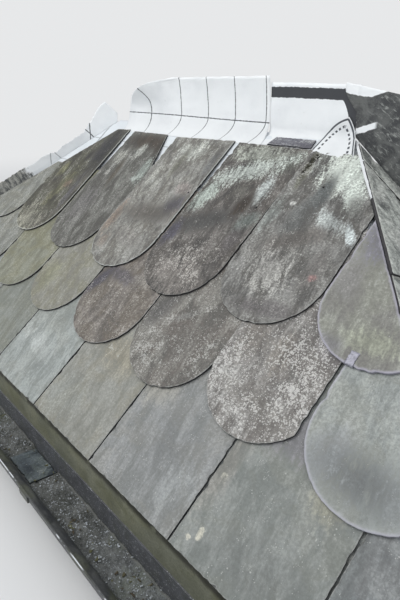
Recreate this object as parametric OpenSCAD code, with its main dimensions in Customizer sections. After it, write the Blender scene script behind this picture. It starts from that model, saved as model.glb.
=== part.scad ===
// Slated hipped roof over a bay window, in an inner corner of a house wall.
// X runs right along the back wall, Y runs into the wall, Z is up.
// The origin is on the wall face of the ledger, at mid height.

/* [Roof] */
// Length along the back wall, inner corner to the return's slate edge
back_l = 1755; // [1500:5:2400]
// Plan depth from the wall face to the slate edge
depth = 750; // [600:5:950]
// Pitch of both faces, degrees
pitch = 39; // [32:1:48]

/* [Slates] */
// Width of one slate
slate_w = 254; // [200:1:310]
// Length of one slate, head to tail
slate_l = 508; // [400:1:520]
// Thickness of one slate
slate_t = 7; // [5:0.5:10]
// Head lap: how far a slate runs under the second course above
head_lap = 127; // [70:1:150]
// Side gap between neighbouring slates
slate_gap = 3; // [2:0.5:6]
// Plan gap from the splayed wall to the cut slates of the top course
rake_gap = 66; // [20:1:100]
// The same gap at the courses below it
low_rake_gap = 24; // [10:1:60]
// Gap from the back wall to the cut slates of the return
wall_gap = 26; // [10:1:80]
// Gap between the mitred slates at the hip
mitre_gap = 5; // [3:0.5:12]

/* [Boarding] */
// Thickness of the roof boards
board_t = 18; // [12:1:25]
// Width of one roof board
board_w = 148; // [98:1:200]
// Thickness of the underlay
sheet_t = 1.2; // [1:0.1:2]
// Height of the underlay turned up the back wall, above the slope's own underlay
upstand_h = 133; // [60:1:180]
// Radius of the curl where the left sheet turns up
curl_r = 84; // [30:1:120]
// Height of the underlay turned up the splayed wall, square to the slope
splay_upstand_h = 52; // [20:1:90]

/* [Timbers] */
// Height of the wall ledger
ledger_h = 170; // [150:5:220]
// Thickness of the ledger and the wall rafters
ledger_t = 47; // [35:1:75]
// Width of a rafter
rafter_w = 47; // [38:1:60]
// Depth of a rafter
rafter_h = 97; // [75:1:125]
// Thickness of the hip rafter
hip_w = 38; // [32:1:50]
// Depth of the hip rafter, below the boards
hip_h = 138; // [120:1:160]
// Width of the wall plates
plate_w = 97; // [72:1:120]
// Depth of the wall plates
plate_h = 72; // [47:1:97]
// Radius of the anchor bolt holes in the ledger
bolt_r = 7; // [5:0.5:9]

/* [Eaves] */
// Overhang of the slates past the fascia
slate_over = 12; // [8:1:40]
// Thickness of the fascia
fascia_t = 21; // [18:1:32]
// Width of the soffit from the fascia to the wall face
soffit_w = 100; // [70:1:160]
// Thickness of the soffit board
soffit_t = 9; // [6:1:18]
// Least the fascia reaches below the soffit
fascia_drop = 20; // [8:1:40]

/* [Gutter] */
// Width of the gutter across the top
gutter_w = 112; // [95:1:140]
// Depth of the gutter
gutter_h = 75; // [60:1:100]
// Metal thickness of the gutter
gutter_t = 3; // [2:0.5:5]
// Height of the rim's upright lip
gutter_lip = 12; // [8:1:20]
// Drop from the slate edge to the gutter's back edge
gutter_drop = 100; // [35:1:130]
// Outer radius of the outlet spigot
outlet_r = 24; // [20:1:26]

/* [Hidden] */

$fn = 96;
big = 6000;
// joints are set a hair apart so that mitred pieces never share volume
fit = 0.15;
gauge = (slate_l - head_lap) / 2;
unit = slate_w + slate_gap;
tilt = asin(slate_t / gauge);
// from the tail of a slate down to the underlay it lies on at its head
lift = slate_l * sin(tilt) + slate_t * cos(tilt);
stack = lift + sheet_t + board_t;
tp = tan(pitch);
cp = cos(pitch);
left_x = -back_l / 2;
right_x = back_l / 2;
apex_x = right_x - depth;
// one vertical joint of the eaves course lies here
joint_x = left_x + 685;
z_wall = ledger_h / 2 + stack / cp;
z_eave = z_wall - depth * tp;
slope_l = depth / cp;
k_min = floor((left_x - depth - joint_x) / unit) - 1;
k_max = ceil((right_x - joint_x) / unit) + 1;

// plan lines, measured outwards from the wall
fascia_y = -depth + slate_over;
foot_y = fascia_y + fascia_t;
plate_y = foot_y + soffit_w;
seat = 50;
function raf_z(y) = ledger_h / 2 + y * tp;
function under_z(y) = raf_z(y) - rafter_h / cp;
plate_z = under_z(plate_y) + seat * tp;
soffit_z = plate_z - plate_h;
gutter_z = z_eave - gutter_drop - gutter_h;
// the fascia also reaches far enough down for the gutter's brackets
fascia_z = min(soffit_z - soffit_t - fascia_drop, gutter_z - 20);

timber = [0.72, 0.58, 0.40];
new_timber = [0.78, 0.66, 0.47];
slate_grey = [0.45, 0.48, 0.47];
old_slate = [0.38, 0.39, 0.35];
iron = [0.13, 0.13, 0.14];
sheet_white = [0.93, 0.94, 0.95];
green_paint = [0.36, 0.38, 0.27];

// Frames and cutting regions

// x along the eaves, y up the slope from the slate edge, z square to the slope
module on_front() {
    translate([0, -depth, z_eave])
        rotate([pitch, 0, 0])
            children();
}

// frame of one course: origin on its tail edge, z square to the tilted slates
module on_course(i) {
    on_front()
        translate([0, i * gauge, 0])
            rotate([-tilt, 0, 0])
                children();
}

// mirrors front-face pieces onto the return across the hip
module on_return() {
    translate([apex_x, 0, 0])
        mirror([1, 1, 0])
            translate([-apex_x, 0, 0])
                children();
}

// keeps what is on the front side of the hip, clear of the splayed wall and back wall
module front_of(hip_gap, rake, wall) {
    intersection() {
        children();
        translate([apex_x, 0, 0])
            rotate([0, 0, 45])
                translate([-big - hip_gap, -big / 2, -big / 2])
                    cube([big, big, big]);
        translate([left_x, 0, 0])
            rotate([0, 0, -45])
                translate([rake, -big / 2, -big / 2])
                    cube([big, big, big]);
        translate([-big / 2, -big - wall, -big / 2])
            cube([big, big, big]);
    }
}

// front-face pieces limited to the triangle that mirrors onto the return
module return_of(hip_gap, wall) {
    on_return()
        intersection() {
            children();
            translate([apex_x, 0, 0])
                rotate([0, 0, 45])
                    translate([-big - hip_gap, -big / 2, -big / 2])
                        cube([big, big, big]);
            translate([apex_x + wall, -big / 2, -big / 2])
                cube([big, big, big]);
        }
}

// slab lying on the front slope between two heights above the slate plane
module slope_slab(n0, n1, s0, s1) {
    on_front()
        translate([-big / 2, s0, n0])
            cube([big, s1 - s0, n1 - n0]);
}

// everything under the top of the front rafters
module below_boards() {
    on_front()
        translate([-big / 2, -big / 2, -stack - big])
            cube([big, big, big]);
}

// Timbers

module wall_ledger() {
    color(timber)
        difference() {
            front_of(0, 0, 0)
                intersection() {
                    translate([left_x, -ledger_t, -ledger_h / 2])
                        cube([apex_x - left_x, ledger_t, ledger_h]);
                    below_boards();
                }
            for (i = [0:3])
                translate([ledger_bolt_x(i), 1, -ledger_h / 4])
                    rotate([90, 0, 0])
                        cylinder(r = bolt_r, h = ledger_t + 2);
        }
}

bolt_pitch = (apex_x - left_x - 240) / 3;
function ledger_bolt_x(i) = (apex_x + left_x) / 2 + (i - 1.5) * bolt_pitch;

// raking timber fixed flat to the splayed wall
module splayed_wall_rafter() {
    color(timber)
        difference() {
            intersection() {
                slope_slab(-stack - rafter_h, -stack, 0, slope_l + 200);
                translate([left_x, 0, 0])
                    rotate([0, 0, -45])
                        translate([0, -big / 2, -big / 2])
                            cube([ledger_t, big, big]);
                translate([-big / 2, foot_y + fit, soffit_z + fit])
                    cube([big, -ledger_t - foot_y - 2 * fit, big]);
            }
            translate([-big / 2, plate_y - fit, plate_z - plate_h - 1])
                cube([big, plate_w + 2 * fit, plate_h + 1 + fit]);
        }
}

// raking timber fixed flat to the back wall under the return
module return_wall_rafter() {
    color(timber)
        return_of(hip_w / 2 + fit, 0)
            rafter(apex_x, ledger_t);
}

// one rafter: plumb head, birdsmouth over the plate, level cut at the soffit
module rafter(x, w) {
    translate([x, 0, 0])
        rotate([90, 0, 90])
            linear_extrude(w)
                difference() {
                    polygon([
                        [-ledger_t - fit, raf_z(-ledger_t - fit)],
                        [foot_y + fit, raf_z(foot_y + fit)],
                        [foot_y + fit, under_z(foot_y + fit)],
                        [-ledger_t - fit, under_z(-ledger_t - fit)]
                    ]);
                    translate([plate_y - fit, plate_z - plate_h - 200])
                        square([plate_w + 2 * fit, plate_h + 200 + fit]);
                    translate([foot_y - 100, soffit_z - 400 + fit])
                        square([big, 400]);
                }
}

module plate_bar() {
    translate([-big / 2, plate_y, plate_z - plate_h])
        cube([big, plate_w, plate_h]);
}

module front_wall_plate() {
    color(timber)
        front_of(fit, 0, 0)
            plate_bar();
}

module return_wall_plate() {
    color(timber)
        return_of(fit, 0)
            plate_bar();
}

// level timber on the back wall that carries the ceiling joists
module ceiling_bearer() {
    color(timber)
        front_of(-2 * depth, 0, 0)
            translate([left_x, -ledger_t, plate_z - plate_h])
                cube([back_l - (depth + plate_y) - plate_w - 1, ledger_t, plate_h]);
}

// rafters of full length, evenly set between the corner and the hip
first_x = left_x + ledger_t * 1.42 + ledger_t + 24;
last_x = apex_x - rafter_w - 20;
common_n = max(2, round((last_x - first_x) / 300));
function common_x(i) = first_x + (last_x - first_x) * i / common_n;

module common_rafters() {
    color(timber)
        for (i = [0:common_n])
            rafter(common_x(i), rafter_w);
}

// short rafters between the splayed wall and the eaves
jack_pitch = (depth - 2 * ledger_t) / 2.6;
module left_jack_rafters() {
    color(timber)
        front_of(0, ledger_t + fit, 0)
            for (i = [0:1])
                rafter(left_x - rafter_w - 20 - i * jack_pitch, rafter_w);
}

// the hip's own rafter, its top backed to both slopes
module hip_rafter() {
    color(timber)
        difference() {
            intersection() {
                translate([apex_x, 0, 0])
                    rotate([0, 0, 45])
                        translate([-hip_w / 2, -big / 2, -big / 2])
                            cube([hip_w, big, big]);
                below_boards();
                on_return()
                    below_boards();
                on_front()
                    translate([-big / 2, 0, -stack - hip_h])
                        cube([big, big, big]);
                on_return()
                    on_front()
                        translate([-big / 2, 0, -stack - hip_h])
                            cube([big, big, big]);
                translate([apex_x + fit, foot_y + fit, soffit_z + fit])
                    cube([-foot_y - 2 * fit, -foot_y - fit - ledger_t * 0 - fit, big]);
                translate([-big / 2, -big - fit, -big / 2])
                    cube([big, big, big]);
            }
            plate_corner();
        }
}

// corner of the two plates, let into the hip rafter
module plate_corner() {
    translate([apex_x, plate_y - fit, plate_z - plate_h - 1])
        cube([big, plate_w + 2 * fit, plate_h + 1 + fit]);
    on_return()
        translate([apex_x, plate_y - fit, plate_z - plate_h - 1])
            cube([big, plate_w + 2 * fit, plate_h + 1 + fit]);
}

// jack rafters between the hip and the eaves, the same on both faces
hip_pitch = depth / 3;
module hip_jacks() {
    for (i = [1:2])
        rafter(apex_x + i * hip_pitch, rafter_w);
}

module front_hip_jacks() {
    color(timber)
        front_of(hip_w / 2 + fit, 0, 0)
            hip_jacks();
}

module return_hip_jacks() {
    color(timber)
        return_of(hip_w / 2 + fit, 0)
            hip_jacks();
}

// joists beside the rafters, carried by the front plate and the bearer
module ceiling_joists() {
    color(timber)
        intersection() {
            union() {
                for (i = [0:common_n - 1])
                    joist(common_x(i) + rafter_w + fit);
                joist(apex_x + hip_pitch + rafter_w + fit);
            }
            below_boards();
            on_return()
                below_boards();
        }
}

module joist(x) {
    translate([x, plate_y, plate_z + fit])
        cube([rafter_w - 6, -plate_y - 1, 88]);
}

// Eaves joinery

module fascia_bar() {
    difference() {
        translate([-big / 2, fascia_y, fascia_z])
            cube([big, fascia_t, z_eave - fascia_z + 60]);
        on_course(0)
            translate([-big / 2, -200, -2 * slate_t - fit])
                cube([big, 600, 400]);
    }
}

module front_fascia() {
    color(green_paint)
        front_of(fit, 0, 0)
            fascia_bar();
}

module return_fascia() {
    color(green_paint)
        return_of(fit, 0)
            fascia_bar();
}

module soffit_bar() {
    translate([-big / 2, foot_y + fit, soffit_z - soffit_t])
        cube([big, soffit_w - 2 * fit, soffit_t]);
}

module front_soffit() {
    color(green_paint)
        front_of(fit, 0, 0)
            soffit_bar();
}

module return_soffit() {
    color(green_paint)
        return_of(fit, 0)
            soffit_bar();
}

// Boarding and underlay

board_n = ceil((slope_l + 100) / (board_w + 2));
board_s0 = (foot_y + depth) / cp + 2;

module board_rows() {
    intersection() {
        for (i = [0:board_n])
            slope_slab(-stack, -stack + board_t,
                board_s0 + i * (board_w + 2), board_s0 + i * (board_w + 2) + board_w);
        translate([-big / 2, foot_y + fit, -big / 2])
            cube([big, big, big]);
    }
}

module front_roof_boards() {
    color(new_timber)
        front_of(1, 2, 2)
            board_rows();
}

module return_roof_boards() {
    color(new_timber)
        return_of(1, 2)
            board_rows();
}

fillet_l = 70;
fillet_s = board_s0 + 12;

// wedge on the boards that lifts the lowest slates
module fillet_bar() {
    difference() {
        slope_slab(-lift - sheet_t, 0, fillet_s, fillet_s + fillet_l);
        on_course(0)
            translate([-big / 2, -200, -2 * slate_t - sheet_t])
                cube([big, 800, 400]);
    }
}

module front_tilting_fillet() {
    color(new_timber)
        front_of(1, 4, 4)
            fillet_bar();
}

module return_tilting_fillet() {
    color(new_timber)
        return_of(1, 4)
            fillet_bar();
}

// underlay over the boards, carried up over the fillet
function course_n(s, n) = -s * sin(tilt) + n;
module sheet_bar() {
    on_front()
        translate([-big / 2, 0, 0])
            rotate([90, 0, 90])
                linear_extrude(big)
                    polygon([
                        [fillet_s, course_n(fillet_s, -2 * slate_t - fit)],
                        [fillet_s + fillet_l, course_n(fillet_s + fillet_l, -2 * slate_t - fit)],
                        [fillet_s + fillet_l + 40, -lift],
                        [slope_l + 100, -lift],
                        [slope_l + 100, -lift - sheet_t + fit],
                        [fillet_s + fillet_l + 38, -lift - sheet_t + fit],
                        [fillet_s + fillet_l + 1, course_n(fillet_s + fillet_l, -2 * slate_t - sheet_t + fit)],
                        [fillet_s, course_n(fillet_s, -2 * slate_t - sheet_t + fit)]
                    ]);
}

module front_underlay() {
    color(sheet_white)
        front_of(0.5, 4, 3)
            sheet_bar();
}

module return_underlay() {
    color(sheet_white)
        return_of(0.5, 3)
            sheet_bar();
}

// heads of the top slates, where they meet the underlay
head_y = -depth + (2 * gauge + slate_l) * cp + lift * sin(pitch);
// height of the underlay's plane at the wall
sheet_z = z_wall - lift / cp;
// the two sheets on the wall overlap at this line
lap_x = apex_x - 262;
curl_x = left_x + 128;
end_r = 80;

// left sheet: curled from the slope up the back wall, its left end rounded
module underlay_upstand() {
    color(sheet_white)
        intersection() {
            translate([curl_x, 0, 0])
                rotate([90, 0, 90])
                    linear_extrude(lap_x - 0.5 - curl_x)
                        curl_profile(curl_r, upstand_h);
            union() {
                translate([curl_x + end_r, 0, sheet_z + upstand_h - end_r])
                    rotate([90, 0, 0])
                        cylinder(r = end_r, h = 400);
                translate([curl_x + end_r, -400, sheet_z - 400])
                    cube([big, 400, 400 + upstand_h]);
                translate([curl_x, -400, sheet_z - 400])
                    cube([end_r + 1, 400, 400 + upstand_h - end_r]);
            }
        }
}

// right sheet: a tighter turn, then flat on the wall down along the return
wall_sheet_r = 34;
wall_sheet_end = apex_x + depth * 0.27;
module underlay_wall_sheet() {
    color(sheet_white)
        union() {
            front_of(0.5, 0, 0)
                translate([lap_x, 0, 0])
                    rotate([90, 0, 90])
                        linear_extrude(depth)
                            curl_profile(wall_sheet_r, upstand_h - 22);
            translate([0, -3, 0])
                rotate([90, 0, 0])
                    linear_extrude(sheet_t)
                        polygon([
                            [apex_x - 30, sheet_z + 40],
                            [apex_x + 2, sheet_z + 4],
                            [wall_sheet_end, sheet_z + 2 - (wall_sheet_end - apex_x) * tp],
                            [wall_sheet_end, sheet_z + upstand_h * 0.6],
                            [apex_x - 30, sheet_z + upstand_h - 22]
                        ]);
        }
}

// sheet edge turned up the splayed wall
module underlay_splay_upstand() {
    color(sheet_white)
        intersection() {
            slope_slab(-lift, -lift + splay_upstand_h, slope_l * 0.4, slope_l + 100);
            translate([left_x, 0, 0])
                rotate([0, 0, -45])
                    translate([4, -big / 2, -big / 2])
                        cube([sheet_t, big, big]);
            translate([-big / 2, -depth, -big / 2])
                cube([big, depth - 12, big]);
        }
}

// flat along the slope, then a turn of radius r, then up the wall to height h
module curl_profile(r, h) {
    centre_y = -3 - r;
    foot = max(6, (centre_y + r * sin(pitch) - head_y) / cp - 3);
    // centre height where the turn meets the slope tangentially
    centre_z = sheet_z + 0.5 + centre_y * tp + r / cp;
    intersection() {
        translate([centre_y, centre_z])
            difference() {
                circle(r = r);
                circle(r = r - sheet_t);
            }
        polygon([
            [centre_y, centre_z],
            [centre_y + 2 * r * sin(pitch), centre_z - 2 * r * cos(pitch)],
            [centre_y + 3 * r, centre_z - r],
            [centre_y + 3 * r, centre_z]
        ]);
    }
    translate([-3 - sheet_t, centre_z - 0.3])
        square([sheet_t, max(5, sheet_z + h - centre_z + 0.3)]);
    translate([centre_y + r * sin(pitch), centre_z - r * cos(pitch)])
        rotate(pitch)
            translate([-foot, 0])
                square([foot + 0.3, sheet_t]);
}

// Slates

// square-tailed slate lying on its course frame
module square_slate(x, len) {
    translate([x - slate_w / 2, 0, -slate_t])
        cube([slate_w, len, slate_t]);
}

// slate with its tail cut to a half circle
module round_slate(x) {
    translate([x, 0, -slate_t])
        linear_extrude(slate_t) {
            translate([0, slate_w / 2])
                circle(r = slate_w / 2);
            translate([-slate_w / 2, slate_w / 2])
                square([slate_w, slate_l - slate_w / 2]);
        }
}

module square_row() {
    on_course(0)
        for (k = [k_min:k_max])
            square_slate(joint_x + (k + 0.5) * unit, slate_l);
}

module under_row() {
    on_course(0)
        translate([0, 0, -slate_t])
            for (k = [k_min:k_max])
                square_slate(joint_x + k * unit, slate_l - gauge);
}

// courses break joint: every other one is moved half a slate
module round_row(i) {
    on_course(i)
        for (k = [k_min:k_max])
            round_slate(joint_x + (k + (i % 2 == 0 ? 0.5 : 0)) * unit);
}

module front_under_eaves_slates() {
    color(slate_grey)
        front_of(mitre_gap / 2, low_rake_gap, wall_gap)
            under_row();
}

module return_under_eaves_slates() {
    color(slate_grey)
        return_of(mitre_gap / 2, wall_gap)
            under_row();
}

module front_eaves_slates() {
    color(slate_grey)
        front_of(mitre_gap / 2, low_rake_gap, wall_gap)
            square_row();
}

module return_eaves_slates() {
    color(slate_grey)
        return_of(mitre_gap / 2, wall_gap)
            square_row();
}

module front_first_round_slates() {
    color(old_slate)
        front_of(mitre_gap / 2, low_rake_gap, wall_gap)
            round_row(1);
}

module return_first_round_slates() {
    color(old_slate)
        return_of(mitre_gap / 2, wall_gap)
            round_row(1);
}

module front_second_round_slates() {
    color(old_slate)
        front_of(mitre_gap / 2, rake_gap, wall_gap)
            round_row(2);
}

module return_second_round_slates() {
    color(old_slate)
        return_of(mitre_gap / 2, wall_gap)
            round_row(2);
}

// the return is slated to its top
module return_third_round_slates() {
    color(old_slate)
        return_of(mitre_gap / 2, wall_gap)
            round_row(3);
}

// offcut lying on the underlay above the heads of the second round course
module slate_packing_piece() {
    color([0.3, 0.29, 0.33])
        on_front()
            translate([lap_x + 40, 2 * gauge + slate_l + 4, -lift + sheet_t + 0.6])
                cube([143, 30, 6]);
}

// lead strip folded over the tail of a slate next to the hip
tingle_k = floor((right_x - 2 * gauge * cp - joint_x) / unit - 0.5) + 0.5;
tingle_off = 0.07 * unit;
tingle_x = joint_x + tingle_k * unit - tingle_off;
tingle_w = 24;
tingle_s = slate_w / 2 - sqrt(pow(slate_w / 2, 2) - pow(tingle_off, 2));
module lead_tingle() {
    color([0.45, 0.46, 0.5])
        on_course(2)
            translate([tingle_x - tingle_w / 2, tingle_s, 0]) {
                translate([0, -3, 0.2])
                    cube([tingle_w, 36, 1.6]);
                translate([0, -3, -slate_t + 0.4])
                    cube([tingle_w, 1.6, slate_t]);
            }
}

// Gutter

gutter_cup = (gutter_h - gutter_lip) * 0.6;
gutter_cove = (gutter_h - gutter_lip) * 0.4;
gutter_flat = gutter_w - gutter_cup - gutter_cove;

// moulded section: x away from the fascia, y up from the floor, t thick, grown by e
module gutter_section(t, e) {
    x1 = gutter_flat;
    x2 = gutter_flat + gutter_cup;
    // back and floor; a strap outside the section has no back
    if (e == 0)
        square([t, gutter_h]);
    translate([0, -e])
        square([x1 + 0.2, t]);
    // lower round
    intersection() {
        translate([x1, gutter_cup])
            difference() {
                circle(r = gutter_cup + e);
                circle(r = gutter_cup + e - t);
            }
        translate([x1, -e])
            square([gutter_cup + e, gutter_cup + e]);
    }
    // upper hollow
    intersection() {
        translate([x2 + gutter_cove, gutter_cup])
            difference() {
                circle(r = gutter_cove - e + t);
                circle(r = gutter_cove - e);
            }
        translate([x2 - t, gutter_cup])
            square([gutter_cove + t, gutter_cove + t]);
    }
    // lip
    translate([gutter_w - t, gutter_cup + gutter_cove - e])
        square([t + e, t]);
    translate([gutter_w - t + e, gutter_cup + gutter_cove - e])
        square([t, gutter_lip + e]);
}

// gutter along the front eaves between two x
module gutter_run(x0, x1, t, e) {
    translate([x0, fascia_y - fit, gutter_z])
        rotate([90, 0, 90])
            linear_extrude(x1 - x0)
                mirror([1, 0])
                    gutter_section(t, e);
}

union_x = joint_x + 145;
angle_arm = 190;
angle_x = right_x - slate_over - angle_arm;
socket_l = 42;

module front_gutter_left() {
    color(iron)
        difference() {
            front_of(0, 6, 0)
                gutter_run(-big / 2, union_x - fit, gutter_t, 0);
            translate([outlet_x, outlet_y, gutter_z - 1])
                cylinder(r = outlet_r - 4, h = gutter_t + 2);
        }
}

module front_gutter_right() {
    color(iron)
        gutter_run(union_x + fit, angle_x - fit, gutter_t, 0);
}

// mitred corner piece with a socket under each neighbour's end
module gutter_angle() {
    color(iron)
        union() {
            front_of(0, 0, 0)
                angle_bar();
            on_return()
                front_of(0, 0, 0)
                    angle_bar();
        }
}

module angle_bar() {
    gutter_run(angle_x, right_x + 400, gutter_t, 0);
    gutter_run(angle_x - socket_l, angle_x + 12, gutter_t, gutter_t);
}

module return_gutter() {
    color(iron)
        on_return()
            gutter_run(apex_x + 6, angle_x - fit, gutter_t, 0);
}

// strap around the outside of the joint of the two front lengths
module gutter_union_strap() {
    color(iron)
        gutter_run(union_x - 20, union_x + 20, gutter_t, gutter_t);
}

// flat plate lying in the gutter beside that joint, its front edge up the lower round
offcut_l = 120;
offcut_t = 5;
offcut_x = union_x - 198;
offcut_r = gutter_cup - gutter_t - 0.06;
offcut_round = 44;
offcut_back = [gutter_t + 1.2, gutter_t + fit];
offcut_front = [gutter_flat + offcut_r * sin(offcut_round), gutter_cup - offcut_r * cos(offcut_round)];
offcut_reach = norm(offcut_front - offcut_back);
offcut_lean = asin((offcut_front[1] - offcut_back[1]) / offcut_reach);
module gutter_joint_plate() {
    color([0.25, 0.28, 0.31])
        translate([offcut_x, fascia_y - fit - offcut_back[0], gutter_z + offcut_back[1]])
            rotate([-offcut_lean, 0, 0])
                translate([0, -offcut_reach, 0])
                    cube([offcut_l, offcut_reach, offcut_t]);
}

bracket_w = 25;
module gutter_bracket(x) {
    translate([x, fascia_y - fit, gutter_z - fit])
        rotate([90, 0, 90])
            linear_extrude(bracket_w)
                mirror([1, 0])
                    union() {
                        translate([0, -5])
                            square([gutter_flat + 14, 5]);
                        translate([0, fascia_z - gutter_z + 2])
                            square([5, gutter_z - fascia_z - 2]);
                    }
}

module gutter_brackets() {
    color(iron) {
        for (i = [0:3])
            gutter_bracket(left_x - depth + 260 + i * (back_l + depth - 400) / 3);
        on_return()
            for (i = [0:1])
                gutter_bracket(apex_x + 120 + i * (depth - 300));
    }
}

module gutter_stop_ends() {
    color(iron) {
        intersection() {
            translate([left_x, 0, 0])
                rotate([0, 0, -45])
                    translate([2.5, -big / 2, -big / 2])
                        cube([3, big, big]);
            end_plug();
        }
        on_return()
            intersection() {
                translate([apex_x + 2.5, -big / 2, -big / 2])
                    cube([3, big, big]);
                end_plug();
            }
    }
}

// solid gutter section, used to cut the stop ends
module end_plug() {
    translate([-big / 2, fascia_y - fit, gutter_z])
        rotate([90, 0, 90])
            linear_extrude(big)
                mirror([1, 0])
                    difference() {
                        union() {
                            square([gutter_flat, gutter_h]);
                            translate([gutter_flat, gutter_cup])
                                circle(r = gutter_cup);
                            translate([gutter_flat, gutter_cup])
                                square([gutter_cup + gutter_cove, gutter_cove + gutter_lip]);
                        }
                        translate([gutter_w, gutter_cup])
                            circle(r = gutter_cove);
                        translate([-50, -1])
                            square([50, gutter_h + 2]);
                    }
}

// spigot under the floor of the left length, by the splayed wall
outlet_x = left_x - depth + 330;
outlet_y = fascia_y - fit - outlet_r - 3;
module gutter_outlet() {
    color(iron)
        translate([outlet_x, outlet_y, gutter_z - fit])
            mirror([0, 0, 1])
                difference() {
                    cylinder(r = outlet_r, h = 70);
                    translate([0, 0, -1])
                        cylinder(r = outlet_r - 4, h = 72);
                }
}

wall_ledger();
splayed_wall_rafter();
return_wall_rafter();
front_wall_plate();
return_wall_plate();
ceiling_bearer();
common_rafters();
left_jack_rafters();
hip_rafter();
front_hip_jacks();
return_hip_jacks();
ceiling_joists();
front_fascia();
return_fascia();
front_soffit();
return_soffit();
front_roof_boards();
return_roof_boards();
front_tilting_fillet();
return_tilting_fillet();
front_underlay();
return_underlay();
underlay_upstand();
underlay_wall_sheet();
underlay_splay_upstand();
front_under_eaves_slates();
return_under_eaves_slates();
front_eaves_slates();
return_eaves_slates();
front_first_round_slates();
return_first_round_slates();
front_second_round_slates();
return_second_round_slates();
return_third_round_slates();
slate_packing_piece();
lead_tingle();
front_gutter_left();
front_gutter_right();
gutter_angle();
return_gutter();
gutter_union_strap();
gutter_joint_plate();
gutter_brackets();
gutter_stop_ends();
gutter_outlet();
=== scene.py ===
"""Looks of a slated bay window roof: riven slates, underlay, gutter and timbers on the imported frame."""

import math

import bpy
import numpy as np
from bpy.props import FloatProperty, FloatVectorProperty, IntProperty, PointerProperty
from mathutils import Euler, Matrix, Vector, geometry, noise


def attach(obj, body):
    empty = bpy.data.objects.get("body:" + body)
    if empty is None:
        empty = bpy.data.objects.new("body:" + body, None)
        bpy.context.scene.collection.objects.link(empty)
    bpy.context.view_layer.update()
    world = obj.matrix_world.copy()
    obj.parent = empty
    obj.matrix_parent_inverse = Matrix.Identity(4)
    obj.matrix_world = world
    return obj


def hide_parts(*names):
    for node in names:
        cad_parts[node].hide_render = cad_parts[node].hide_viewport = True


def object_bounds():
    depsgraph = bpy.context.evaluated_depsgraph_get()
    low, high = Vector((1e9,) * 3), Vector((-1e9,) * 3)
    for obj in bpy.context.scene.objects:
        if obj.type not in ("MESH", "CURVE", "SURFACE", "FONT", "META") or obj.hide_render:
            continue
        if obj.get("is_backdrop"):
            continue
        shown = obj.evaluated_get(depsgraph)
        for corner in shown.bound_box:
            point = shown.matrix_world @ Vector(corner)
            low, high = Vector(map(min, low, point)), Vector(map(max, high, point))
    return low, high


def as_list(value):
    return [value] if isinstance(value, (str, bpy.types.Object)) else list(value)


bl_info = {
    "name": "Slated bay window roof",
    "version": (1, 0, 0),
    "blender": (4, 5, 0),
    "location": "View3D > Sidebar > Bay roof",
    "description": "Builds the slates, underlay, gutter dirt and finishes of a hipped bay roof",
    "category": "Object",
}

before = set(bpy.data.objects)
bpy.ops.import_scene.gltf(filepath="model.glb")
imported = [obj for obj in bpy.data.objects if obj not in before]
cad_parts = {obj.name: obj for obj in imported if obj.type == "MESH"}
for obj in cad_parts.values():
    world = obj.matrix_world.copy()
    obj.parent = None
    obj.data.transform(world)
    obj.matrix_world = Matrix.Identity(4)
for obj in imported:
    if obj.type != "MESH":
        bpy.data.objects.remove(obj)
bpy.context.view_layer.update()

# Sizes in millimetres, the same as the frame's own

MM = 0.001
BACK_LENGTH = 1755.0
DEPTH = 750.0
PITCH = math.radians(39.0)
COS_PITCH = math.cos(PITCH)
SIN_PITCH = math.sin(PITCH)
TAN_PITCH = math.tan(PITCH)
SLATE_W = 254.0
SLATE_L = 508.0
SLATE_T = 7.0
HEAD_LAP = 127.0
SLATE_GAP = 3.0
TAIL_STEPS = 64
HOLE_R = 2.8
RAKE_GAP = 66.0
LOW_RAKE_GAP = 24.0
WALL_GAP = 26.0
MITRE_GAP = 5.0
BOARD_T = 18.0
SHEET_T = 1.2
UNDERLAY_T = 0.9
WALL_CLEAR = 3.0
END_FALL = 0.184
LEDGER_H = 170.0
UPSTAND_H = 133.0
SPLAY_UPSTAND_H = 52.0
CURL_R = 84.0
WALL_SHEET_R = 34.0
END_R = 118.0
SLATE_OVER = 12.0
GUTTER_W = 112.0
GUTTER_H = 75.0
GUTTER_T = 3.0
GUTTER_LIP = 12.0
GUTTER_DROP = 100.0

GAUGE = (SLATE_L - HEAD_LAP) / 2
UNIT = SLATE_W + SLATE_GAP
TILT = math.asin(SLATE_T / GAUGE)
LIFT = SLATE_L * math.sin(TILT) + SLATE_T * math.cos(TILT)
STACK = LIFT + SHEET_T + BOARD_T
LEFT_X = -BACK_LENGTH / 2
RIGHT_X = BACK_LENGTH / 2
APEX_X = RIGHT_X - DEPTH
JOINT_X = LEFT_X + 685.0
Z_WALL = LEDGER_H / 2 + STACK / COS_PITCH
Z_EAVE = Z_WALL - DEPTH * TAN_PITCH
SLOPE_L = DEPTH / COS_PITCH
SHEET_Z = Z_WALL - LIFT / COS_PITCH
LAP_X = APEX_X - 262.0
CURL_X = LEFT_X + 74.0
FASCIA_Y = -DEPTH + SLATE_OVER
GUTTER_Z = Z_EAVE - GUTTER_DROP - GUTTER_H
GUTTER_CUP = (GUTTER_H - GUTTER_LIP) * 0.6
GUTTER_FLAT = GUTTER_W - (GUTTER_H - GUTTER_LIP)
UNION_X = JOINT_X + 145.0
PLATE_LONG = 120.0
PLATE_T = 5.0
PLATE_X = UNION_X - 198.0 + PLATE_LONG / 2
TOP_OF_SLATES = 2 * GAUGE + SLATE_L
SEEN_WHOLE = 900.0
SEEN_TAIL = GAUGE + SLATE_W / 2 + 12
ROOT2 = math.sqrt(2)

GRID_START = (-0.6165, 0.967, 0.0)
GRID_PITCH = (0.117, 0.125, 1.0)
SPECKS_PER_METRE = 300.0

CAMERA_PLACE = (0.8017, -1.0994, 0.2303)
CAMERA_TURN = (66.350, 0.352, 48.203)
CAMERA_LENS = 29.6

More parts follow.
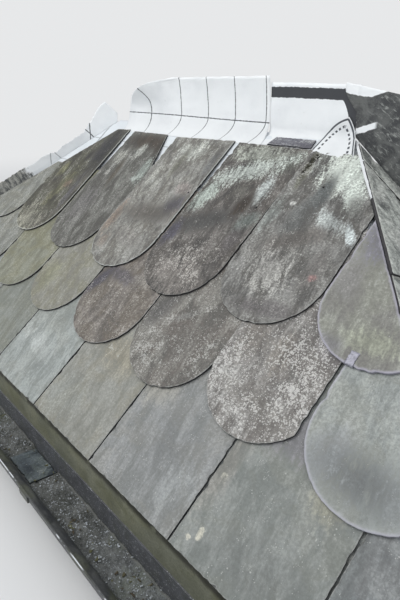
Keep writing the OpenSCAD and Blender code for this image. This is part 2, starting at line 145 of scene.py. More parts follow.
# Lamps: name, place in metres, watts, size in metres
LAMPS = (("Soft key", (-1.6, -2.6, 3.2), 106.0, 2.6), ("Soft fill", (2.6, -1.2, 2.2), 31.0, 2.4))
LAMPS_AIM = (0.0, -0.4, -0.2)
LAMP_COLOUR = (1.0, 0.985, 0.96)
SKY = {"Color": (0.86, 0.9, 0.95, 1.0), "Strength": 0.56}
BACKDROP = {"Color": (0.84, 0.85, 0.86, 1.0), "Strength": 0.95}


def tone(red, green, blue):
    """A colour read in 0 to 255 display values, as linear RGBA."""

    def linear(value):
        value /= 255.0
        return value / 12.92 if value <= 0.04045 else ((value + 0.055) / 1.055) ** 2.4

    return (linear(red), linear(green), linear(blue), 1.0)


class RoofSizes(bpy.types.PropertyGroup):
    """Sizes of the slates' and sheets' surface detail."""

    chip_depth: FloatProperty(
        name="Chip depth", description="How far the dressed edges are chipped back", default=1.1 * MM,
        min=0.0, max=4 * MM, subtype="DISTANCE", unit="LENGTH",
    )
    riven_relief: FloatProperty(
        name="Riven relief", description="Depth of the split face's ridges and steps", default=1.3 * MM,
        min=0.0, max=3 * MM, subtype="DISTANCE", unit="LENGTH",
    )
    fine_step: FloatProperty(
        name="Fine step", description="Spacing of the points on the part of a slate that shows",
        default=5.5 * MM, min=2 * MM, max=20 * MM, subtype="DISTANCE", unit="LENGTH",
    )
    wrinkle: FloatProperty(
        name="Wrinkle height", description="Height of the creases in the underlay", default=2.2 * MM,
        min=0.0, max=6 * MM, subtype="DISTANCE", unit="LENGTH",
    )
    silt_depth: FloatProperty(
        name="Silt depth", description="Depth of the dirt that lies in the gutter", default=13 * MM,
        min=4 * MM, max=30 * MM, subtype="DISTANCE", unit="LENGTH",
    )
    grit_count: IntProperty(
        name="Grit count", description="Number of loose chips lying on the gutter's dirt", default=3200,
        min=0, max=6000,
    )


class RoofColours(bpy.types.PropertyGroup):
    """Colours that a user would change."""

    sheet: FloatVectorProperty(
        name="Underlay", description="White of the underlay", subtype="COLOR", size=4,
        default=tone(245, 248, 250), min=0.0, max=1.0,
    )
    print_line: FloatVectorProperty(
        name="Printed line", description="Grey of the lines printed on the underlay", subtype="COLOR",
        size=4, default=tone(52, 57, 62), min=0.0, max=1.0,
    )
    fascia: FloatVectorProperty(
        name="Fascia", description="Green-grey of the fascia under its algae", subtype="COLOR", size=4,
        default=tone(112, 113, 92), min=0.0, max=1.0,
    )
    iron: FloatVectorProperty(
        name="Gutter", description="Near-black paint of the gutter", subtype="COLOR", size=4,
        default=tone(52, 54, 58), min=0.0, max=1.0,
    )
    floor: FloatVectorProperty(
        name="Floor", description="Pale floor under the roof", subtype="COLOR", size=4,
        default=tone(226, 227, 228), min=0.0, max=1.0,
    )


# Node trees


class Graph:
    """Adds shader nodes to a tree and joins them by socket name."""

    def __init__(self, tree):
        self.tree = tree
        self.count = 0

    def add(self, kind, values=None, **settings):
        """One node. A value that is a socket is linked, and any other is set."""
        node = self.tree.nodes.new(kind)
        node.location = (220 * (self.count % 12), -260 * (self.count // 12))
        self.count += 1
        for name, value in settings.items():
            setattr(node, name, value)
        for name, value in (values or {}).items():
            self.put(node.inputs[name], value)
        return node

    def put(self, socket, value):
        if isinstance(value, bpy.types.NodeSocket):
            self.tree.links.new(value, socket)
        else:
            socket.default_value = value

    def group(self, effect_name, values):
        """The outputs of one of the shared effects, fed with values."""
        node = self.add("ShaderNodeGroup", node_tree=effect(effect_name))
        for name, value in values.items():
            self.put(node.inputs[name], value)
        return node.outputs

    def math(self, operation, first, second=0.0, third=0.0):
        node = self.add("ShaderNodeMath", operation=operation)
        for socket, value in zip(node.inputs, (first, second, third)):
            self.put(socket, value)
        return node.outputs[0]

    def times(self, first, second):
        return self.math("MULTIPLY", first, second)

    def scaled(self, value, factor, offset):
        """value times factor, plus offset."""
        return self.math("MULTIPLY_ADD", value, factor, offset)

    def plus(self, first, second):
        return self.math("ADD", first, second)

    def less(self, first, second):
        return self.math("SUBTRACT", first, second)

    def most(self, first, second):
        return self.math("MAXIMUM", first, second)

    def vector(self, operation, first, second=None):
        node = self.add("ShaderNodeVectorMath", operation=operation)
        self.put(node.inputs[0], first)
        if second is not None:
            self.put(node.inputs[1], second)
        return node.outputs["Value" if operation in ("DOT_PRODUCT", "LENGTH") else "Vector"]

    def ramp(self, value, low, high, start=0.0, end=1.0):
        """value taken smoothly from start at low to end at high."""
        node = self.add("ShaderNodeMapRange", interpolation_type="SMOOTHSTEP")
        numbers = {"Value": value, "From Min": low, "From Max": high, "To Min": start, "To Max": end}
        for name, number in numbers.items():
            self.put(node.inputs[name], number)
        return node.outputs["Result"]

    def mix(self, factor, first, second, blend="MIX"):
        node = self.add("ShaderNodeMix", data_type="RGBA", blend_type=blend)
        self.put(node.inputs[0], factor)
        self.put(node.inputs[6], first)
        self.put(node.inputs[7], second)
        return node.outputs[2]

    def noise(self, vector, scale, detail=3.0, rough=0.5, distortion=0.0):
        values = {"Vector": vector, "Scale": scale, "Detail": detail, "Roughness": rough}
        node = self.add("ShaderNodeTexNoise", {**values, "Distortion": distortion})
        return node.outputs["Fac"]

    def place(self):
        """Where the point lies on its own object."""
        return self.add("ShaderNodeTexCoord").outputs["Object"]

    def flat_place(self):
        """Where the point lies on the sheet when it is laid out flat."""
        return self.add("ShaderNodeAttribute", attribute_name="sheet_uv").outputs["Vector"]

    def stored(self, name):
        """A value kept on the mesh's points."""
        return self.add("ShaderNodeAttribute", attribute_name=name).outputs["Fac"]

    def parts(self, vector):
        """The X, Y and Z of a vector."""
        return self.add("ShaderNodeSeparateXYZ", {"Vector": vector}).outputs

    def grey(self, level):
        return self.add("ShaderNodeCombineXYZ", {"X": level, "Y": level, "Z": level}).outputs[0]

    def seen(self):
        """1 for rays that come from the camera, off a shiny face or through glass."""
        path = self.add("ShaderNodeLightPath").outputs
        seen = self.most(path["Is Camera Ray"], path["Is Glossy Ray"])
        return self.most(seen, path["Is Transmission Ray"])

    def shaded(self, colour, level):
        """colour made darker or lighter by a value that changes over the surface."""
        return self.mix(1.0, colour, self.grey(level), "MULTIPLY")


def new_group(name, inputs, outputs):
    """A shader node group. An input's kind follows its default, and only the output Color is a colour."""
    tree = bpy.data.node_groups.new(name, "ShaderNodeTree")
    kinds = {1: "NodeSocketFloat", 3: "NodeSocketVector", 4: "NodeSocketColor"}
    for label, default in inputs.items():
        size = len(default) if isinstance(default, tuple) else 1
        socket = tree.interface.new_socket(label, in_out="INPUT", socket_type=kinds[size])
        socket.default_value = default
    for label in outputs:
        kind = kinds[4 if label == "Color" else 1]
        tree.interface.new_socket(label, in_out="OUTPUT", socket_type=kind)
    graph = Graph(tree)
    source = graph.add("NodeGroupInput").outputs
    sink = graph.add("NodeGroupOutput").inputs
    return graph, source, sink


GREY = (0.5, 0.5, 0.5, 1.0)
ORIGIN = (0.0, 0.0, 0.0)


def riven_group():
    """Split stone: streaks between two tones, patches of a third, and pale scrapes along the grain."""
    inputs = {"Vector": ORIGIN, "Light": GREY, "Dark": GREY, "Patch": GREY}
    inputs.update({"Patch amount": 0.3, "Turn": 0.0, "Scratch": 0.5, "Fine": 1.0})
    outputs = ("Height", "Roughness", "Grain", "Shade", "Color")
    graph, source, sink = new_group("Riven stone", inputs, outputs)
    turned = graph.add("ShaderNodeVectorRotate", {"Vector": source["Vector"]}, rotation_type="Z_AXIS")
    graph.put(turned.inputs["Angle"], source["Turn"])
    long_way = graph.vector("MULTIPLY", turned.outputs[0], (1.0, 0.36, 1.0))
    longer = graph.vector("MULTIPLY", turned.outputs[0], (1.0, 0.2, 1.0))
    broad = graph.noise(long_way, 30.0, 7.0, 0.66, 0.5)
    scratch = graph.noise(longer, 150.0, 5.0, 0.7, 0.4)
    mottle = graph.noise(source["Vector"], 190.0, 5.0, 0.72)
    cloud = graph.noise(source["Vector"], 13.0, 6.0, 0.66, 0.7)
    grain = graph.scaled(scratch, 0.45, graph.times(broad, 0.55))
    level = graph.ramp(graph.scaled(scratch, 0.3, graph.times(broad, 0.7)), 0.42, 0.58)
    colour = graph.mix(level, source["Dark"], source["Light"])
    patch = graph.times(graph.ramp(cloud, 0.44, 0.58), source["Patch amount"])
    colour = graph.mix(patch, colour, source["Patch"])
    scrape = graph.scaled(mottle, 0.4, graph.times(grain, 0.6))
    scrape = graph.scaled(graph.less(cloud, 0.5), 0.3, scrape)
    pale = graph.times(graph.ramp(scrape, 0.52, 0.62), source["Scratch"])
    colour = graph.mix(graph.times(pale, 0.42), colour, tone(208, 210, 206))
    speckle = graph.ramp(mottle, 0.34, 0.66, 0.54, 1.06)
    speckle = graph.scaled(graph.less(speckle, 0.8), source["Fine"], 0.8)
    colour = graph.shaded(colour, speckle)
    steps = graph.noise(long_way, 34.0, 2.0, 0.5, 0.8)
    ledges = graph.math("SNAP", steps, 0.07)
    height = graph.scaled(broad, 0.6, graph.times(ledges, 1.6))
    height = graph.scaled(scratch, 0.7, height)
    height = graph.scaled(mottle, 0.5, height)
    graph.put(sink["Color"], colour)
    graph.put(sink["Height"], height)
    graph.put(sink["Roughness"], graph.ramp(mottle, 0.3, 0.75, 0.52, 0.78))
    graph.put(sink["Grain"], graph.scaled(mottle, 0.3, graph.times(grain, 0.7)))
    shade = graph.times(speckle, graph.scaled(level, 0.42, 0.79))
    graph.put(sink["Shade"], graph.times(shade, graph.scaled(pale, 0.45, 1.0)))
    return graph.tree


def specks_group():
    """Crumbs of lichen of uneven size, gathered in drifts, denser where the amount is higher."""
    inputs = {"Vector": ORIGIN, "Amount": 0.5, "Scale": SPECKS_PER_METRE}
    graph, source, sink = new_group("Lichen specks", inputs, ("Mask",))
    spots = {"Vector": source["Vector"], "Scale": source["Scale"]}
    dots = graph.add("ShaderNodeTexVoronoi", spots).outputs
    drift = graph.noise(source["Vector"], graph.times(source["Scale"], 0.16), 4.0, 0.68)
    level = graph.scaled(graph.less(drift, 0.5), 2.6, source["Amount"])
    wobble = graph.noise(source["Vector"], graph.times(source["Scale"], 2.2), 4.0, 0.75)
    apart = graph.scaled(graph.less(wobble, 0.5), 1.5, dots["Distance"])
    cell = graph.add("ShaderNodeSeparateColor", {"Color": dots["Color"]}).outputs["Red"]
    reach = graph.scaled(graph.math("MINIMUM", level, 1.25), 0.72, -0.42)
    reach = graph.scaled(cell, 0.42, reach)
    mask = graph.ramp(apart, graph.less(reach, 0.1), reach, 1.0, 0.0)
    mask = graph.times(mask, graph.ramp(wobble, 0.3, 0.6, 1.0, 0.55))
    gate = graph.ramp(level, 0.02, 0.2)
    graph.put(sink["Mask"], graph.times(mask, gate))
    return graph.tree


def patch_group():
    """One soft-edged oval patch at a place on the piece."""
    inputs = {"Vector": ORIGIN, "Centre": ORIGIN, "Reach": (0.05, 0.05, 0.05)}
    inputs.update({"Turn": 0.0, "Ragged": 0.3, "Grain": 0.5})
    graph, source, sink = new_group("Soft patch", inputs, ("Mask",))
    away = graph.vector("SUBTRACT", source["Vector"], source["Centre"])
    turned = graph.add("ShaderNodeVectorRotate", {"Vector": away}, rotation_type="Z_AXIS")
    graph.put(turned.inputs["Angle"], source["Turn"])
    apart = graph.vector("LENGTH", graph.vector("DIVIDE", turned.outputs[0], source["Reach"]))
    drift = graph.times(graph.less(source["Grain"], 0.5), source["Ragged"])
    reach = graph.scaled(drift, -9.0, apart)
    graph.put(sink["Mask"], graph.ramp(reach, 0.35, 1.2, 1.0, 0.0))
    return graph.tree


def edge_group():
    """Masks for the worn arris and for the sides, from the distance to the rim in millimetres."""
    inputs = {"Vector": ORIGIN, "Distance": 10.0, "Width": 3.0, "Ragged": 3.0}
    graph, source, sink = new_group("Edge wear", inputs, ("Arris", "Side"))
    wander = graph.noise(source["Vector"], 120.0, 4.0, 0.7)
    drift = graph.times(graph.less(wander, 0.42), source["Ragged"])
    apart = graph.scaled(drift, 2.0, source["Distance"])
    graph.put(sink["Arris"], graph.ramp(apart, 0.0, source["Width"], 1.0, 0.0))
    graph.put(sink["Side"], graph.ramp(source["Distance"], -0.5, -0.05, 1.0, 0.0))
    return graph.tree


def print_group():
    """Lines of a grid printed on a sheet, from its flat coordinates."""
    inputs = {"Vector": ORIGIN, "Start": ORIGIN, "Pitch": GRID_PITCH, "Line": 0.0016}
    graph, source, sink = new_group("Printed grid", inputs, ("Mask",))
    soft = graph.noise(source["Vector"], 120.0, 3.0, 0.7)
    away = graph.vector("SUBTRACT", source["Vector"], source["Start"])
    parts = graph.parts(graph.vector("DIVIDE", away, source["Pitch"]))
    sizes = graph.parts(source["Pitch"])
    masks = []
    for axis in ("X", "Y"):
        fraction = graph.math("FRACT", parts[axis])
        apart = graph.math("ABSOLUTE", graph.less(fraction, 0.5))
        apart = graph.less(0.5, apart)
        apart = graph.times(apart, sizes[axis])
        width = graph.times(source["Line"], graph.ramp(soft, 0.3, 0.7, 0.55, 1.1))
        masks.append(graph.ramp(apart, graph.times(width, 0.4), width, 1.0, 0.0))
    graph.put(sink["Mask"], graph.most(masks[0], masks[1]))
    return graph.tree


def timber_group():
    """Sawn softwood with its grain along one direction."""
    inputs = {"Vector": ORIGIN, "Along": (1.0, 0.0, 0.0), "Across": (0.0, 1.0, 0.0)}
    inputs.update({"Light": GREY, "Dark": GREY, "Stain": 0.3, "Board": 0.15})
    graph, source, sink = new_group("Sawn softwood", inputs, ("Color", "Height"))
    third = graph.vector("CROSS_PRODUCT", source["Along"], source["Across"])
    along = graph.vector("DOT_PRODUCT", source["Vector"], source["Along"])
    across = graph.vector("DOT_PRODUCT", source["Vector"], source["Across"])
    depth = graph.vector("DOT_PRODUCT", source["Vector"], third)
    row = graph.math("FLOOR", graph.math("DIVIDE", across, source["Board"]))
    drawn = graph.scaled(along, 0.06, graph.times(row, 3.7))
    stretched = graph.add("ShaderNodeCombineXYZ", {"X": drawn, "Y": across, "Z": depth}).outputs[0]
    rings = graph.noise(stretched, 95.0, 4.0, 0.55, 0.9)
    fibre = graph.noise(stretched, 900.0, 2.0, 0.6)
    damp = graph.noise(source["Vector"], 7.0, 5.0, 0.65)
    colour = graph.mix(graph.ramp(rings, 0.38, 0.62), source["Light"], source["Dark"])
    mark = graph.times(graph.ramp(damp, 0.5, 0.72), source["Stain"])
    colour = graph.mix(mark, colour, tone(74, 66, 58))
    board = graph.add("ShaderNodeTexWhiteNoise", {"W": row}, noise_dimensions="1D").outputs["Value"]
    level = graph.scaled(board, 0.26, 0.86)
    colour = graph.shaded(colour, level)
    graph.put(sink["Color"], colour)
    graph.put(sink["Height"], graph.scaled(fibre, 0.5, rings))
    return graph.tree


def grime_group():
    """Paint under dust, lime spots and green growth, for the gutter and the fascia."""
    inputs = {"Vector": ORIGIN, "Paint": GREY, "Dust": GREY, "Dust amount": 0.4}
    inputs.update({"Spots": 0.3, "Growth": GREY, "Growth amount": 0.2})
    graph, source, sink = new_group("Grimy paint", inputs, ("Color", "Height", "Roughness"))
    cloud = graph.noise(source["Vector"], 22.0, 6.0, 0.68, 0.4)
    fine = graph.noise(source["Vector"], 260.0, 4.0, 0.66)
    dots = graph.noise(source["Vector"], 330.0, 2.0, 0.6)
    drift = graph.noise(source["Vector"], 14.0, 3.0, 0.6)
    normal = graph.parts(graph.add("ShaderNodeNewGeometry").outputs["Normal"])
    faces_up = graph.ramp(normal["Z"], -0.1, 0.8, 0.45, 1.0)
    dust = graph.times(graph.ramp(cloud, 0.36, 0.66), source["Dust amount"])
    dust = graph.times(dust, faces_up)
    colour = graph.mix(dust, source["Paint"], source["Dust"])
    growth = graph.times(graph.ramp(drift, 0.44, 0.64), source["Growth amount"])
    colour = graph.mix(growth, colour, source["Growth"])
    low = graph.scaled(source["Spots"], -0.16, 0.76)
    spots = graph.ramp(dots, low, graph.plus(low, 0.05))
    colour = graph.mix(graph.times(spots, 0.8), colour, tone(176, 180, 182))
    speckle = graph.ramp(fine, 0.3, 0.7, 0.78, 1.2)
    colour = graph.shaded(colour, speckle)
    graph.put(sink["Color"], colour)
    graph.put(sink["Height"], graph.scaled(dust, 0.6, fine))
    graph.put(sink["Roughness"], graph.ramp(dust, 0.0, 0.5, 0.4, 0.85))
    return graph.tree


GROUPS = {}


def effect(name):
    """One of the shared node groups, built the first time that it is asked for."""
    makers = {
        "riven": riven_group,
        "specks": specks_group,
        "patch": patch_group,
        "edge": edge_group,
        "print": print_group,
        "timber": timber_group,
        "grime": grime_group,
    }
    if name not in GROUPS:
        GROUPS[name] = makers[name]()
    return GROUPS[name]


def new_material(name):
    """An empty node material with its shader and output joined."""
    material = bpy.data.materials.new(name)
    material.use_nodes = True
    material.node_tree.nodes.clear()
    graph = Graph(material.node_tree)
    shader = graph.add("ShaderNodeBsdfPrincipled")
    output = graph.add("ShaderNodeOutputMaterial")
    graph.put(output.inputs["Surface"], shader.outputs["BSDF"])
    return material, graph, shader


def finish_shader(graph, shader, colour, rough, height, strength, distance):
    """Joins a finish's colour, roughness and relief to its shader."""
    graph.put(shader.inputs["Base Color"], colour)
    graph.put(shader.inputs["Roughness"], rough)
    relief = graph.add("ShaderNodeBump", {"Height": height, "Strength": strength, "Distance": distance})
    graph.put(shader.inputs["Normal"], relief.outputs["Normal"])


# What each slate looks like, by its course and how many slate widths its middle is from JOINT_X.
# Places on a slate are x and s in millimetres from the middle of its tail.
# A drift of specks is x, s, half width, half length, turn in degrees and how many more specks.
# A cut is a line from x, s to x, s.

# Old slates' sides are near-black: partly dirt, partly painted shade. Cut sides keep their fresh pale
# colour.
OLD_SIDE_DIRT_AND_SHADE = (44, 43, 46)
CUT_SIDE = (150, 149, 160)
BASE_LOOK = {
    "light": (156, 158, 152), "dark": (122, 124, 119), "patch": (140, 138, 122), "patch_amount": 0.35,
    "turn": -8.0, "scratch": 0.5, "specks": 0.12, "speck_tone": (196, 198, 194), "speck_patches": [],
    "stains": [], "arris": (186, 188, 184), "arris_width": 2.4, "arris_amount": 0.65, "side": OLD_SIDE_DIRT_AND_SHADE,
    "holes": [], "cuts": [], "laid": (0.0, 0.0, 0.0), "fine": 1.0,
}

# The round courses on the front lie a little to the left of the half-lap, in millimetres
COURSE_SHIFT = {0: 0.0, 1: -8.0, 2: -18.0, 3: 0.0}

EAVES_LOOK = {
    "light": (166, 170, 167), "dark": (136, 140, 137), "patch": (150, 148, 138), "patch_amount": 0.3,
    # The eaves slates' dark side is also dirt plus painted shade.
    "specks": 0.1, "fine": 0.5, "scratch": 0.3, "speck_tone": (205, 207, 203), "side": (60, 60, 62),
    "arris": (190, 192, 188),
}

LOOKS = {
    (0, -1.5): {"light": (148, 152, 146), "dark": (124, 128, 121), "patch": (134, 134, 118)},
    (0, -0.5): {"light": (176, 182, 180), "dark": (146, 152, 149), "patch": (158, 160, 152)},
    (0, 0.5): {
        "light": (160, 161, 155), "dark": (138, 139, 132), "patch": (152, 148, 132), "patch_amount": 0.4,
        "speck_patches": [(-17, 215, 40, 26, 0, 0.5)],
    },
    (0, 1.5): {"light": (160, 162, 162), "dark": (132, 135, 134), "patch": (150, 148, 140), "specks": 0.2},
    (0, 2.5): {"light": (154, 158, 155), "dark": (128, 133, 130), "patch": (140, 142, 132), "specks": 0.22},
    (0, 3.5): {"light": (138, 143, 145), "dark": (104, 108, 110), "patch": (140, 140, 138)},
    (1, -2): {
        "fine": 0.6, "light": (148, 150, 136), "dark": (122, 123, 108), "patch": (134, 132, 104),
        "patch_amount": 0.5, "specks": 0.16,
    },
    (1, -1): {
        "fine": 0.6, "light": (154, 154, 146), "dark": (132, 131, 122), "patch": (138, 136, 112),
        "patch_amount": 0.45,
    },
    (1, 0): {
        "light": (140, 134, 128), "dark": (102, 97, 92), "patch": (122, 113, 100), "patch_amount": 0.4,
        "specks": 0.36, "speck_tone": (204, 201, 195),
        "speck_patches": [(100, 60, 26, 50, -30, 0.5), (-10, 120, 60, 40, 0, 0.2)],
        "arris": (206, 206, 204), "arris_amount": 0.7,
    },
    (1, 1): {
        "light": (140, 138, 132), "dark": (98, 96, 92), "patch": (118, 110, 104), "patch_amount": 0.45,
        "specks": 0.5, "speck_tone": (204, 204, 200),
        "speck_patches": [(-50, 65, 50, 50, 0, 0.35), (85, 115, 30, 60, 0, 0.3), (40, 28, 50, 26, 0, 0.25)],
    },
    (1, 2): {
        "laid": (-8.0, 10.0, 0.0), "cuts": [(99, 0, 99, 508)], "light": (172, 171, 168),
        "dark": (110, 107, 104), "patch": (138, 133, 128), "patch_amount": 0.4, "specks": 0.62,
        "speck_tone": (230, 229, 226),
        "speck_patches": [
            (-110, 130, 40, 60, 0, 0.35), (30, 205, 70, 50, 0, 0.4),
            (70, 125, 50, 60, 0, 0.4), (-20, 60, 80, 36, 0, 0.25),
        ],
    },
    (1, 3): {
        "laid": (-25.0, 0.0, 0.0), "fine": 0.6, "light": (172, 177, 174), "dark": (144, 149, 147),
        "patch": (158, 160, 150), "specks": 0.08, "side": CUT_SIDE, "arris": (182, 182, 192),
        "arris_width": 7.0, "arris_amount": 0.8,
    },
    (2, -2.5): {
        "scratch": 0.85, "laid": (0.0, 0.0, 3.5), "light": (104, 102, 93), "dark": (54, 53, 49),
        "patch": (88, 88, 70), "patch_amount": 0.5, "specks": 0.16, "turn": -10.0,
        "speck_patches": [(20, 310, 30, 40, 0, 0.4)], "cuts": [(-45, 486, -127, 396)],
        "arris": (196, 198, 192), "arris_width": 4.5, "arris_amount": 0.8,
    },
    (2, -1.5): {
        "scratch": 0.85, "light": (126, 126, 121), "dark": (80, 79, 75), "patch": (100, 100, 95),
        "patch_amount": 0.4, "specks": 0.16, "turn": -10.0, "cuts": [(127, 340, 62, 500)],
        "speck_patches": [(85, 309, 20, 20, 0, 0.5), (-73, 310, 20, 20, 0, 0.4), (0, 70, 90, 50, 0, 0.15)],
    },
    (2, -0.5): {
        "scratch": 0.85, "laid": (0.0, 4.0, 2.0), "light": (158, 158, 153), "dark": (104, 102, 98),
        "patch": (134, 131, 122), "patch_amount": 0.4, "specks": 0.14, "turn": -10.0,
        "holes": [(96, 302), (118, 342)], "arris": (206, 210, 206), "arris_width": 3.6,
        "arris_amount": 0.85,
    },
    (2, 0.5): {
        "scratch": 0.85, "light": (122, 118, 114), "dark": (70, 68, 66), "patch": (102, 96, 90),
        "patch_amount": 0.4, "specks": 0.26, "speck_tone": (212, 209, 203), "turn": -10.0,
        "holes": [(91, 303)], "arris_amount": 0.4,
        "speck_patches": [(-8, 83, 80, 60, 0, 0.42), (29, 144, 90, 40, 0, 0.36), (68, 62, 44, 34, 0, 0.36)],
    },
    (2, 1.5): {
        "scratch": 0.85, "laid": (6.0, 24.0, 1.5), "light": (148, 148, 145), "dark": (90, 89, 87),
        "patch": (112, 109, 103), "specks": 0.28, "speck_tone": (194, 194, 188), "turn": -10.0,
        "speck_patches": [(0, 130, 90, 60, 0, 0.25), (-112, 440, 24, 60, 0, 0.6)], "holes": [(-32, 398)],
    },
    (2, 2.5): {
        "laid": (2.0, 27.0, 0.0), "fine": 0.6, "light": (164, 166, 158), "dark": (130, 129, 125),
        "patch": (154, 157, 144), "patch_amount": 0.4, "specks": 0.08, "side": CUT_SIDE,
        "arris": (178, 176, 190), "arris_width": 6.5, "arris_amount": 0.8,
    },
}

# Stains: x, s, half width, half length, turn in degrees, raggedness, tone, strength

